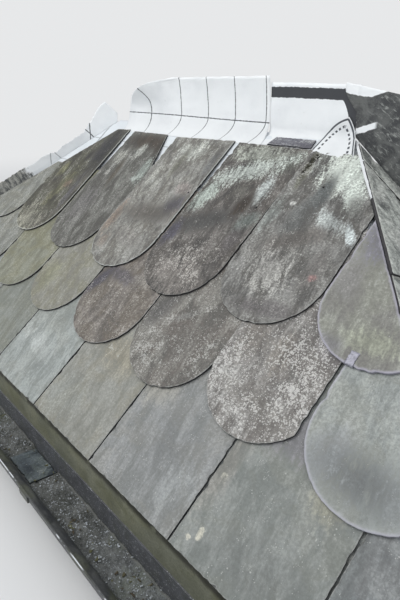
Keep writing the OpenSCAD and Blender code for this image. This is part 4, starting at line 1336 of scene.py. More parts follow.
def lay_curled_sheet(colours, sizes):
    """Left sheet turned up the back wall in a wide curl, its left end rounded off."""
    path = curl_path(CURL_R, UPSTAND_H + 7.0, curl_foot(CURL_R), 9.0)
    wide = 120
    centre = SHEET_Z + UPSTAND_H + 8.0 - END_R
    last_x = LAP_X - 0.5

    def place(level, j):
        y, z, along = level
        low = CURL_X
        if z > centre:
            low += 2.5 * (END_R - math.sqrt(max(0.0, END_R**2 - (z - centre) ** 2)))
        x = low + (last_x - low) * j / wide
        lifted = ease((z - SHEET_Z + 40) / 60)
        sag = crease(x, along, 7.0, 90.0) * sizes.wrinkle / MM * 1.6 * lifted
        waver = 2.4 * lifted * ripple(x / 46, 0.3, 2.2)
        edge = ease((z - (SHEET_Z + UPSTAND_H - 40)) / 40)
        drop = edge * 3.0 * abs(ripple(x / 60, 5.0, 1.0))
        far_left = ease((-540 - x) / 230)
        tipped = 34.0 * far_left * ease((z - SHEET_Z - 40) / 90)
        out = max(0.0, sag + waver + 2.0 * lifted + tipped)
        skew = 34.0 * far_left * ease((z - 170) / 60)
        printed_y = along - 13.0 - 7.0 * ease((-138 - x) / 600)
        flat = (printed_x(x, ease((along - 890) / 90)) + skew, printed_y, 0.0)
        return (x, min(-1.0, y - out), z - drop), flat

    material = underlay_material("Underlay with grid", colours)
    obj = sheet_object("curled_underlay_upstand", path, wide, place, material)
    show(obj, ("underlay_upstand",))
    size = ((last_x - CURL_X) * MM, (path[-1][2] - path[0][2]) * MM)
    declare_sheet(obj, *size, "folded", ["front_roof_boards"])


def lay_wall_sheet(colours, sizes):
    """Right sheet: a tight turn, then flat on the wall as far as the hip and down beside the return."""
    height = UPSTAND_H - 10
    path = curl_path(WALL_SHEET_R, height, curl_foot(WALL_SHEET_R), 2.0)
    wide = 110

    def place(level, j):
        y, z, along = level
        right = APEX_X - y - 1.2
        x = LAP_X + (right - LAP_X) * j / wide
        lifted = ease((z - SHEET_Z + 20) / 40)
        out = lifted * (1.0 + crease(x, along, 13.0, 60.0) * sizes.wrinkle / MM)
        slope_down = max(0.0, (x - LAP_X - 60) / 300) * 8 * ease((z - SHEET_Z - 50) / 50)
        return (x, min(-1.0, y - out), z - slope_down), (x, along, 0.0)

    top = path[-1][2]
    band = (top * MM - 0.034, top * MM - 0.008)
    material = underlay_material("Underlay with dark band", colours, printed=False, band=band)
    obj = sheet_object("wall_underlay_sheet", path, wide, place, material)
    show(obj, ("underlay_wall_sheet",))
    size = ((APEX_X - LAP_X) * MM, (top - path[0][2]) * MM)
    declare_sheet(obj, *size, "folded", ["front_roof_boards"])
    end_x = APEX_X + DEPTH * 0.27
    end_tall, end_wide = 36, 60

    def place_end(i, j):
        share = i / end_tall
        ragged = 3 * ripple(share * 9, 2.0, 6.0)
        first = APEX_X + 3 - 36 * ease((share - 0.38) / 0.5) + ragged
        x = first + (end_x - first) * j / end_wide
        down = SHEET_Z + 6 - max(0.0, x - APEX_X) * TAN_PITCH
        up = SHEET_Z + height - 7 - (x - APEX_X) * END_FALL
        z = down + (up - down) * share
        out = 2.0 + crease(x, z, 21.0, 60.0) * 2.2
        out += 3.4 * ease((APEX_X + 6 - x) / 6)
        return (x, -WALL_CLEAR - out, z), (x, z, 0.0)

    dusty = dusty_end_material(colours)
    piece = sheet_object("wall_underlay_sheet_end", range(end_tall + 1), end_wide, place_end, dusty)
    show(piece)
    declare_sheet(piece, (end_x - APEX_X) * MM, height * MM * 1.4, "folded", ["return_roof_boards"])


def soiled_sheet_material(colours):
    """Underlay beside the splayed wall: clean above, smeared with old mortar lower down."""
    material = underlay_material("Underlay with old mortar", colours)
    graph = Graph(material.node_tree)
    shader = material.node_tree.nodes["Principled BSDF"]
    clean = shader.inputs["Base Color"].links[0].from_socket
    flat = graph.flat_place()
    parts = graph.parts(flat)
    lumps = graph.noise(flat, 60.0, 6.0, 0.7)
    mortar = graph.mix(graph.ramp(lumps, 0.42, 0.58), tone(84, 86, 86), tone(158, 158, 152))
    height = graph.scaled(lumps, 0.12, parts["Y"])
    colour = graph.mix(graph.ramp(height, 0.78, 0.8, 1.0, 0.0), clean, mortar)
    graph.put(shader.inputs["Base Color"], colour)
    return material


def dusty_end_material(colours):
    """Dark end of the sheet: mortar dust and streaks over it, its top margin left white."""
    material, graph, shader = new_material("Underlay dark dusty end")
    flat = graph.flat_place()
    parts = graph.parts(flat)
    cloud = graph.noise(flat, 24.0, 6.0, 0.7, 0.6)
    turned = graph.add("ShaderNodeVectorRotate", {"Vector": flat, "Angle": 0.6}, rotation_type="Z_AXIS")
    drawn = graph.vector("MULTIPLY", turned.outputs[0], (1.0, 3.2, 1.0))
    streak = graph.noise(drawn, 38.0, 6.0, 0.72, 0.5)
    fine = graph.noise(flat, 330.0, 3.0, 0.7)
    colour = graph.mix(graph.ramp(cloud, 0.38, 0.62), tone(58, 60, 62), tone(100, 102, 101))
    pale = graph.times(graph.ramp(streak, 0.53, 0.64), graph.ramp(parts["X"], 0.15, 0.2, 0.15, 0.85))
    colour = graph.mix(pale, colour, tone(150, 153, 150))
    colour = graph.mix(graph.ramp(fine, 0.6, 0.72, 0.0, 0.4), colour, tone(168, 170, 168))
    ragged = graph.scaled(graph.noise(flat, 60.0, 4.0, 0.6), 0.008, parts["Z"])
    ragged = graph.plus(ragged, parts["Y"])
    margin = graph.scaled(parts["X"], END_FALL, ragged)
    margin = graph.plus(margin, graph.ramp(parts["X"], 0.14, 0.24, 0.021, -0.012))
    level = (SHEET_Z + UPSTAND_H - 17 + APEX_X * END_FALL) * MM + 0.003
    bare = graph.ramp(margin, level, level + 0.0015)
    low = graph.scaled(parts["X"], -0.34, ragged)
    strip = graph.times(graph.ramp(low, 0.076, 0.078), graph.ramp(low, 0.09, 0.092, 1.0, 0.0))
    strip = graph.times(strip, graph.ramp(parts["X"], 0.176, 0.186, 1.0, 0.0))
    white = graph.most(bare, strip)
    colour = graph.mix(white, colour, tuple(colours.sheet))
    rough = graph.ramp(cloud, 0.3, 0.7, 0.6, 0.85)
    finish_shader(graph, shader, colour, rough, graph.scaled(fine, 0.4, streak), 0.5, 0.0016)
    return material


def lay_splay_sheet(colours):
    """Sheet edge turned up the splayed wall, torn ragged along its top."""
    start, end = SLOPE_L * 0.4, (DEPTH - 12) / COS_PITCH
    tall, wide = 14, 190

    def place(i, j):
        s = start + (end - start) * j / wide
        tear = 7 * ripple(s / 44, 1.0, 8.0) + 3 * ripple(s / 9, 3.0, 8.0)
        reach = SPLAY_UPSTAND_H * (0.7 + 0.1 * math.sin(s / 70)) + tear
        reach += 34 * ease((s - end + 120) / 110)
        reach = max(14.0, min(SPLAY_UPSTAND_H + 26, reach))
        n = -LIFT + 0.4 + reach * i / tall
        _, y, z = slope_point(0, s, n)
        y = min(y, -12.5)
        out = 4.6 + crease(s, n, 31.0, 50.0) * 2.4 * ease(i / 5)
        return (LEFT_X + y + out * ROOT2, y, z), (LEFT_X + y, s + 125.0, 0.0)

    material = soiled_sheet_material(colours)
    obj = sheet_object("splayed_wall_sheet_edge", range(tall + 1), wide, place, material)
    show(obj, ("underlay_splay_upstand",))
    length = (end - start) * MM / math.cos(math.pi / 4)
    declare_sheet(obj, 0.05, length, "folded", ["splayed_wall_rafter"])


def lay_pointed_lap(colours):
    """Pointed end of the sheet's lap, laid over the slope beside the hip."""
    left, tip, right = (36.0, 878.0), (112.0, 1008.0), (166.0, 884.0)
    steps, apart_mm = 30, 3.5
    corners = [bezier(left, (33.0, 990.0), tip, i / steps) for i in range(steps + 1)]
    corners += [bezier(tip, (140.0, 976.0), right, i / steps) for i in range(1, steps + 1)]
    path = curl_path(WALL_SHEET_R, UPSTAND_H - 10, 70.0, 2.0)
    outline = np.array(corners[::-1])
    dense, _ = resample([(tuple(p), "side") for p in outline], 9999.0, 3.0, 3.0)
    rng = np.random.default_rng(77)
    low, high = dense.min(0), dense.max(0)
    xs, ys = np.meshgrid(np.arange(low[0], high[0], apart_mm), np.arange(low[1], high[1], apart_mm))
    grid = np.stack([xs.ravel(), ys.ravel()], 1) + rng.uniform(-0.6, 0.6, (xs.size, 2))
    grid = grid[inside(grid, dense)]
    apart, _ = near_outline(grid, dense)
    spots, _, triangles = fill_outline(dense, grid[apart > 1.8])[:3]
    points = np.array([tuple(p) for p in spots])
    apart, _ = near_outline(points, dense)
    seam, along = near_path(points, np.array(corners))
    verts = []
    for i, (x, s) in enumerate(points):
        rise = 4.6 + 2.4 * crease(x, s, 41.0, 34.0) * ease(apart[i] / 10)
        rise += 3.0 * ease((s - 930) / 40)
        hip_x = APEX_X - on_sheet(path, x, s, rise)[1]
        rise += 17.0 * ease((x - hip_x + 26) / 26) * ease((990 - s) / 60)
        x = min(x, hip_x + 5.0)
        verts.append(on_sheet(path, x, s, rise))
    stored = {"rim_mm": [float(v) for v in seam], "along_mm": [float(v) for v in along]}
    material = underlay_material("Underlay with stitched line", colours, False, None, True)
    faces = [tuple(t) for t in triangles]
    obj = new_piece("pointed_sheet_lap", verts, faces, material, stored=stored)
    thicken(obj, UNDERLAY_T)
    show(obj)
    declare_sheet(obj, 0.13, 0.13, "laid", ["front_underlay_sheet"])


def on_sheet(path, x, along, rise):
    """A point at a distance along a turned-up sheet's side view, standing off its face."""
    i = 0
    while i < len(path) - 2 and path[i + 1][2] < along:
        i += 1
    (y0, z0, a0), (y1, z1, a1) = path[i], path[i + 1]
    share = (along - a0) / (a1 - a0)
    long = math.hypot(y1 - y0, z1 - z0)
    y = y0 + (y1 - y0) * share - (z1 - z0) / long * rise
    z = z0 + (z1 - z0) * share + (y1 - y0) / long * rise
    return (x, y, z)


def lay_hip_strip(colours):
    """Edge of the underlay standing up in the mitred joint, near the top of the hip."""
    tall = 60

    def place(i, j):
        s = 768.0 + 158.0 * i / tall
        face = -(s - 2 * GAUGE) * math.sin(TILT)
        ragged = ripple(s / 13, 4.0, 2.0) + 0.6 * ripple(s / 4, 1.0, 7.0)
        wide = (2.2 + 3.4 * ease((s - 764) / 70)) * (1 + 0.14 * ragged)
        side = (-1.6, -wide, -wide * 0.3, wide * 0.4, wide * 0.7, 1.6)[j]
        n = (-6.0, 1.6, 3.0, 2.6, 1.2, -6.0)[j]
        _, y, z = slope_point(0, s, face + n + 0.5 * ragged)
        return (APEX_X - y + side / ROOT2, y + side / ROOT2, z), (side, s, 0.0)

    material = underlay_material("Underlay in the hip joint", colours, printed=False)
    obj = sheet_object("hip_underlay_strip", range(tall + 1), 5, place, material)
    show(obj)
    declare_sheet(obj, 0.03, 0.22, "folded", ["front_roof_boards"])


def bezier(first, middle, last, t):
    """A point on the curve from first to last that is drawn towards middle."""
    a, b, c = (1 - t) ** 2, 2 * t * (1 - t), t * t
    return tuple(a * p + b * q + c * r for p, q, r in zip(first, middle, last))


def near_path(points, path):
    """Distance from each point to an open path, and how far along it the nearest place is."""
    legs = path[1:] - path[:-1]
    size = np.linalg.norm(legs, axis=1)
    starts = np.concatenate([[0.0], np.cumsum(size)[:-1]])
    gap = np.full(len(points), 1e9)
    along = np.zeros(len(points))
    for start, leg, length, base in zip(path[:-1], legs, size, starts):
        t = np.clip(((points - start) @ leg) / (length**2 + 1e-9), 0, 1)
        far = np.linalg.norm(points - start - t[:, None] * leg, axis=1)
        better = far < gap
        gap[better] = far[better]
        along[better] = (base + t * length)[better]
    return gap, along


# Gutter


def iron_material(name, colours, dust_amount=0.5, spots=0.35, rim=False):
    """Black gutter paint, dusty and spotted, with a painted highlight along the top of its outer rim and
    painted light on its back wall, flecked pale.
    """
    material, graph, shader = new_material(name)
    local = graph.place()
    dirt = {"Dust": tone(104, 106, 104), "Dust amount": dust_amount, "Spots": spots}
    green = {"Growth": tone(84, 88, 66), "Growth amount": 0.45}
    grime = graph.group("grime", {"Vector": local, "Paint": tuple(colours.iron), **dirt, **green})
    colour = grime["Color"]
    if rim:
        parts = graph.parts(local)
        top = (GUTTER_Z + GUTTER_H) * MM
        # Painted highlight: pale bluish dashes along the top of the front and side rim; the mask named worn
        # carries it.
        at_top = graph.ramp(parts["Z"], top - 0.0014, top - 0.0004)
        front = graph.math("LESS_THAN", parts["Y"], (FASCIA_Y - GUTTER_W + 1.7) * MM)
        side = graph.math("GREATER_THAN", parts["X"], (APEX_X - FASCIA_Y + GUTTER_W - 1.7) * MM)
        outer = graph.most(front, side)
        worn = graph.ramp(graph.noise(local, 11.0, 4.0, 0.6), 0.5, 0.56)
        mask = graph.times(at_top, worn)
        mask = graph.times(mask, outer)
        colour = graph.mix(mask, colour, tone(214, 218, 224))
        # Partly painted light: the back wall, shaded under the slates, is painted a lighter grey; the pale
        # flecks on it are dirt.
        back = graph.ramp(parts["Y"], (FASCIA_Y - 9.0) * MM, (FASCIA_Y - 5.0) * MM)
        back = graph.times(back, graph.ramp(graph.noise(local, 36.0, 5.0, 0.7), 0.34, 0.6, 0.45, 0.95))
        flecks = graph.ramp(graph.noise(local, 300.0, 2.0, 0.6), 0.62, 0.67)
        dusty = graph.mix(flecks, tone(92, 94, 99), tone(190, 193, 196))
        colour = graph.mix(back, colour, dusty)
    finish_shader(graph, shader, colour, grime["Roughness"], grime["Height"], 0.4, 0.0012)
    return material


def floor_height(y_in):
    """Top of the gutter's inside at a distance from its back, in millimetres above its floor."""
    over = y_in - GUTTER_FLAT
    if over <= 0:
        return GUTTER_T
    inner = GUTTER_CUP - GUTTER_T
    if over >= inner:
        return 999.0
    return GUTTER_CUP - math.sqrt(inner**2 - over**2)


def above_plate(x, v):
    """The highest that silt may lie near the plate: just under it, and free away from it."""
    apart = abs(x - PLATE_X) - PLATE_LONG / 2
    return 3.0 + 0.14 * v + 26 * ease((apart - 1.0) / 9)


def silt_strip(name, start, end, to_world, depth, seed, material):
    """Bed of dirt along one length of gutter: level in the main, lumpy, tapering at its edges."""
    inner = GUTTER_CUP - GUTTER_T
    reach = GUTTER_FLAT + math.sqrt(inner**2 - (GUTTER_CUP - depth - GUTTER_T) ** 2) - 1.0
    first = GUTTER_T + 0.4
    wide = 26
    tall = max(8, int((end - start) / 4.5))
    verts, rim = [], []
    for i in range(tall + 1):
        x = start + (end - start) * i / tall
        for j in range(wide + 1):
            v = first + (reach - first) * j / wide
            lump = noise.fractal(Vector((x / 30, v / 22, seed)), 0.8, 2.0, 4)
            small = ripple(x / 5, v / 5, seed + 3)
            h = depth * (0.78 + 0.42 * lump + 0.12 * small)
            banked = ease((v - first) / 9)
            h = h * (0.86 + 0.14 * banked) + 3.5 * (1 - banked)
            h = max(h + GUTTER_T, floor_height(v) + 0.3)
            if to_world is front_gutter_point:
                h = max(floor_height(v) + 0.2, min(h, above_plate(x, v)))
            verts.append(to_world(x, v, h))
            rim.append(v - first)
    base = len(verts)
    row = wide + 1
    faces = grid_faces(tall, row)
    for i in range(tall + 1):
        x = start + (end - start) * i / tall
        for j in range(wide + 1):
            v = first + (reach - first) * j / wide
            verts.append(to_world(x, v, floor_height(v) + 0.15))
            rim.append(v - first)
    faces += grid_faces(tall, row, base, True)
    border = list(range(row)) + [i * row + wide for i in range(1, tall + 1)]
    border += [tall * row + j for j in range(wide - 1, -1, -1)]
    border += [i * row for i in range(tall - 1, 0, -1)]
    for a, b in zip(border, border[1:] + border[:1]):
        faces.append((b, a, a + base, b + base))
    return new_piece(name, verts, faces, material, stored={"rim_mm": rim})


def front_gutter_point(x, v, h):
    """A point in the front gutter: x along it, v out from its back, h above its underside."""
    return (x, FASCIA_Y - 0.15 - v, GUTTER_Z + h)


def return_gutter_point(x, v, h):
    """The same on the return: x runs back from the corner along the return's eaves."""
    _, y, z = front_gutter_point(x, v, h)
    return (APEX_X - y, APEX_X - x, z)


def silt_material():
    """Grey silt with slate chips and some green, pale with dust where it meets the fascia."""
    material, graph, shader = new_material("Gutter silt and moss")
    local = graph.place()
    cloud = graph.noise(local, 30.0, 6.0, 0.7)
    grit = graph.noise(local, 380.0, 3.0, 0.6)
    chips = graph.noise(local, 190.0, 2.0, 0.6, 0.6)
    damp = graph.noise(local, 7.0, 3.0, 0.6)
    colour = graph.mix(graph.ramp(cloud, 0.36, 0.64), tone(62, 64, 60), tone(104, 106, 104))
    colour = graph.mix(graph.ramp(damp, 0.5, 0.66, 0.0, 0.6), colour, tone(86, 92, 70))
    colour = graph.mix(graph.ramp(grit, 0.5, 0.64, 0.0, 0.5), colour, tone(126, 130, 134))
    colour = graph.mix(graph.ramp(chips, 0.63, 0.68, 0.0, 0.85), colour, tone(168, 174, 180))
    right = graph.parts(local)["X"]
    colour = graph.mix(graph.ramp(right, 0.0, 0.5, 0.0, 0.6), colour, tone(132, 137, 142))
    rim = graph.stored("rim_mm")
    line = graph.times(graph.ramp(rim, 0.2, 1.0), graph.ramp(rim, 3.4, 5.4, 1.0, 0.0))
    colour = graph.mix(graph.times(line, 0.8), colour, tone(106, 108, 105))
    height = graph.scaled(grit, 0.7, graph.times(chips, 1.4))
    finish_shader(graph, shader, colour, 0.9, height, 0.8, 0.003)
    return material


def flake(rng, size):
    """A small broken chip: a flat lump with five or six uneven corners."""
    count = int(rng.integers(5, 8))
    angles = np.sort(rng.uniform(0, 2 * math.pi, count))
    radii = size * rng.uniform(0.45, 1.0, count)
    thick = size * rng.uniform(0.16, 0.4)
    top = [(r * math.cos(a), r * math.sin(a) * 0.7, thick) for a, r in zip(angles, radii)]
    bottom = [(x * 1.15, y * 1.15, 0.0) for x, y, _ in top]
    faces = [tuple(range(count)), tuple(range(2 * count - 1, count - 1, -1))]
    for i in range(count):
        j = (i + 1) % count
        faces.append((i, i + count, j + count, j))
    return top + bottom, faces


def scatter(name, places, material, seed, low, high):
    """Many loose chips in one mesh, each turned its own way on its spot."""
    rng = np.random.default_rng(seed)
    verts, faces = [], []
    for place in places:
        points, sides = flake(rng, rng.uniform(low, high))
        turn = Euler((rng.uniform(-0.5, 0.5), rng.uniform(-0.5, 0.5), rng.uniform(0, 6.28))).to_matrix()
        base = len(verts)
        for p in points:
            q = turn @ Vector(p)
            verts.append(tuple(a + b for a, b in zip(place, q)))
        faces += [tuple(base + i for i in side) for side in sides]
    return new_piece(name, verts, faces, material, False)


def chip_material(name, light, dark):
    """Two tones for small loose chips."""
    material, graph, shader = new_material(name)
    local = graph.place()
    tones = graph.noise(local, 60.0, 2.0, 0.5)
    fine = graph.noise(local, 700.0, 3.0, 0.6)
    colour = graph.mix(graph.ramp(tones, 0.4, 0.6), tone(*dark), tone(*light))
    finish_shader(graph, shader, colour, graph.ramp(fine, 0.3, 0.7, 0.6, 0.9), fine, 0.4, 0.0006)
    return material


def fill_gutter(sizes):
    """Dirt, moss and chips of slate in the gutter."""
    depth = sizes.silt_depth / MM
    material = silt_material()
    corner = RIGHT_X - SLATE_OVER
    strips = (
        ("gutter_silt_front", LEFT_X - DEPTH + 150, corner - 6, front_gutter_point, 1.3),
        ("gutter_silt_return", APEX_X + 16, corner - 6, return_gutter_point, 4.1),
    )
    for name, start, end, to_world, seed in strips:
        show(silt_strip(name, start, end, to_world, depth, seed, material))
    rng = np.random.default_rng(5)
    places, mosses = [], []
    for _ in range(sizes.grit_count):
        x = LEFT_X - 500 + (corner - 10 - LEFT_X + 500) * rng.uniform() ** 0.62
        v = rng.uniform(6, 78)
        if abs(x - PLATE_X) < PLATE_LONG / 2 + 6:
            continue
        places.append(front_gutter_point(x, v, GUTTER_T + depth * 0.98))
    pale = chip_material("Loose slate grit", (176, 182, 188), (96, 98, 98))
    show(scatter("gutter_grit", places, pale, 6, 0.8, 3.5))
    for _ in range(150):
        x = rng.uniform(LEFT_X - 400, corner - 30)
        mosses.append(front_gutter_point(x, rng.uniform(10, 70), GUTTER_T + depth * 0.9))
    green = chip_material("Dead leaf and moss crumbs", (96, 98, 70), (66, 58, 44))
    show(scatter("gutter_moss_crumbs", mosses, green, 9, 3.0, 8.0))


def paint_gutter(colours):
    """Finish of the gutter's own lengths, strap, brackets and outlet."""
    # This finish carries the painted rim highlight and the painted light on the gutter's back wall.
    iron_with_painted_light = iron_material("Gutter iron with painted light", colours, 0.5, 0.3, True)
    plain_iron = iron_material("Bracket iron", colours, 0.25, 0.1)
    for node in ("front_gutter_left", "front_gutter_right", "gutter_angle", "return_gutter"):
        dress(node, iron_with_painted_light)
    for node in ("gutter_union_strap", "gutter_brackets", "gutter_stop_ends", "gutter_outlet"):
        dress(node, plain_iron)


def dress(node, material):
    """Gives a node of the frame its finish."""
    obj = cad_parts[node]
    obj.data.materials.clear()
    obj.data.materials.append(material)


# Timbers and joinery


def timber_material(name, along, across, light=(176, 148, 108), dark=(138, 108, 72), stain=0.5):
    """Sawn softwood whose grain runs along one direction."""
    material, graph, shader = new_material(name)
    local = graph.place()
    grain = {"Vector": local, "Along": along, "Across": across}
    tones = {"Light": tone(*light), "Dark": tone(*dark), "Stain": stain, "Board": 0.15}
    wood = graph.group("timber", {**grain, **tones})
    rough = graph.ramp(wood["Height"], 0.4, 1.0, 0.66, 0.82)
    finish_shader(graph, shader, wood["Color"], rough, wood["Height"], 0.35, 0.0012)
    return material


def fascia_material(colours):
    """Painted board gone green with algae, with a painted shadow along its top under the slates."""
    material, graph, shader = new_material("Fascia with painted shadow")
    local = graph.place()
    dirt = {"Dust": tone(150, 151, 138), "Dust amount": 0.75, "Spots": 0.1}
    green = {"Growth": tone(108, 110, 97), "Growth amount": 0.7}
    grime = graph.group("grime", {"Vector": local, "Paint": tuple(colours.fascia), **dirt, **green})
    height = graph.parts(local)["Z"]
    # Painted shadow: a ragged near-black band along the fascia's top, under the slates' edge.
    under = graph.ramp(height, (Z_EAVE - 46) * MM, (Z_EAVE - 28) * MM)
    wander = graph.ramp(graph.noise(local, 40.0, 4.0, 0.65), 0.3, 0.5)
    shade = graph.times(graph.times(under, wander), 0.9)
    colour = graph.mix(shade, grime["Color"], tone(38, 37, 31))
    finish_shader(graph, shader, colour, grime["Roughness"], grime["Height"], 0.4, 0.001)
    return material


def under_slate_material():
    """Plain riven slate for the course that only shows its tails."""
    material, graph, shader = new_material("Slate under the eaves course")
    local = graph.place()
    tones = {"Light": tone(140, 144, 142), "Dark": tone(104, 107, 106), "Patch": tone(120, 118, 108)}
    stone = graph.group("riven", {"Vector": local, **tones})
    finish_shader(graph, shader, stone["Color"], stone["Roughness"], stone["Height"], 0.5, 0.0012)
    return material


# Operators


class BAYROOF_OT_stage(bpy.types.Operator):
    """Camera, pale floor and soft light"""

    bl_idname = "bayroof.stage"
    bl_label = "Stage"

    def execute(self, context):
        colours = context.scene.bay_roof_colours
        camera = bpy.data.cameras.new("Roof camera")
        camera.lens = CAMERA_LENS
        camera.sensor_width = 36.0
        camera.clip_start = 0.01
        camera.clip_end = 200.0
        eye = bpy.data.objects.new("Roof camera", camera)
        eye.location = CAMERA_PLACE
        eye.rotation_euler = [math.radians(a) for a in CAMERA_TURN]
        context.scene.collection.objects.link(eye)
        context.scene.camera = eye
        self.lay_floor(context, colours)
        self.light(context)
        context.scene.view_settings.view_transform = "Standard"
        return {"FINISHED"}

    def lay_floor(self, context, colours):
        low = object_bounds()[0]
        far, level = 30000.0, (low.z - 0.001) / MM
        corners = [(-far, -far, level), (far, -far, level), (far, far, level), (-far, far, level)]
        material, graph, shader = new_material("Pale floor")
        local = graph.place()
        far_off = graph.ramp(graph.vector("LENGTH", local), 1.6, 7.0)
        shader.inputs["Base Color"].default_value = tuple(colours.floor)
        shader.inputs["Roughness"].default_value = 0.9
        pale = graph.add("ShaderNodeEmission", BACKDROP)
        both = graph.add("ShaderNodeMixShader")
        graph.put(both.inputs[0], graph.times(graph.seen(), far_off))
        graph.put(both.inputs[1], shader.outputs["BSDF"])
        graph.put(both.inputs[2], pale.outputs["Emission"])
        output = next(n for n in material.node_tree.nodes if n.bl_idname == "ShaderNodeOutputMaterial")
        graph.put(output.inputs["Surface"], both.outputs[0])
        floor = new_piece("Pale floor", corners, [(0, 1, 2, 3)], material, False)
        context.scene.collection.objects.link(floor)
        floor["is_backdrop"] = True

    def light(self, context):
        world = bpy.data.worlds.new("Soft sky")
        world.use_nodes = True
        tree = world.node_tree
        tree.nodes.clear()
        graph = Graph(tree)
        sky = graph.add("ShaderNodeBackground", SKY)
        pale = graph.add("ShaderNodeBackground", BACKDROP)
        both = graph.add("ShaderNodeMixShader")
        graph.put(both.inputs[0], graph.seen())
        graph.put(both.inputs[1], sky.outputs[0])
        graph.put(both.inputs[2], pale.outputs[0])
        output = graph.add("ShaderNodeOutputWorld")
        graph.put(output.inputs["Surface"], both.outputs[0])
        context.scene.world = world
        for name, place, power, size in LAMPS:
            lamp = bpy.data.lights.new(name, "AREA")
            lamp.energy = power
            lamp.size = size
            lamp.color = LAMP_COLOUR
            obj = bpy.data.objects.new(name, lamp)
            obj.location = place
            aim = Vector(LAMPS_AIM) - Vector(place)
            obj.rotation_euler = aim.to_track_quat("-Z", "Y").to_euler()
            context.scene.collection.objects.link(obj)


class BAYROOF_OT_eaves_slates(bpy.types.Operator):
    """Square-tailed eaves course on both faces"""

    bl_idname = "bayroof.eaves_slates"
    bl_label = "Eaves slates"

    def execute(self, context):
        sizes = context.scene.bay_roof_sizes
        lay_course(0, False, "front_eaves_slate", sizes)
        lay_course(0, True, "return_eaves_slate", sizes)
        under = under_slate_material()
        dress("front_under_eaves_slates", under)
        dress("return_under_eaves_slates", under)
        return {"FINISHED"}


class BAYROOF_OT_round_slates(bpy.types.Operator):
    """Round-tailed courses on both faces"""

    bl_idname = "bayroof.round_slates"
    bl_label = "Round-tailed slates"

    def execute(self, context):
        sizes = context.scene.bay_roof_sizes
        for course, word in ((1, "first"), (2, "second"), (3, "third")):
            if course < 3:
                lay_course(course, False, f"front_{word}_round_slate", sizes)
            lay_course(course, True, f"return_{word}_round_slate", sizes)
        return {"FINISHED"}


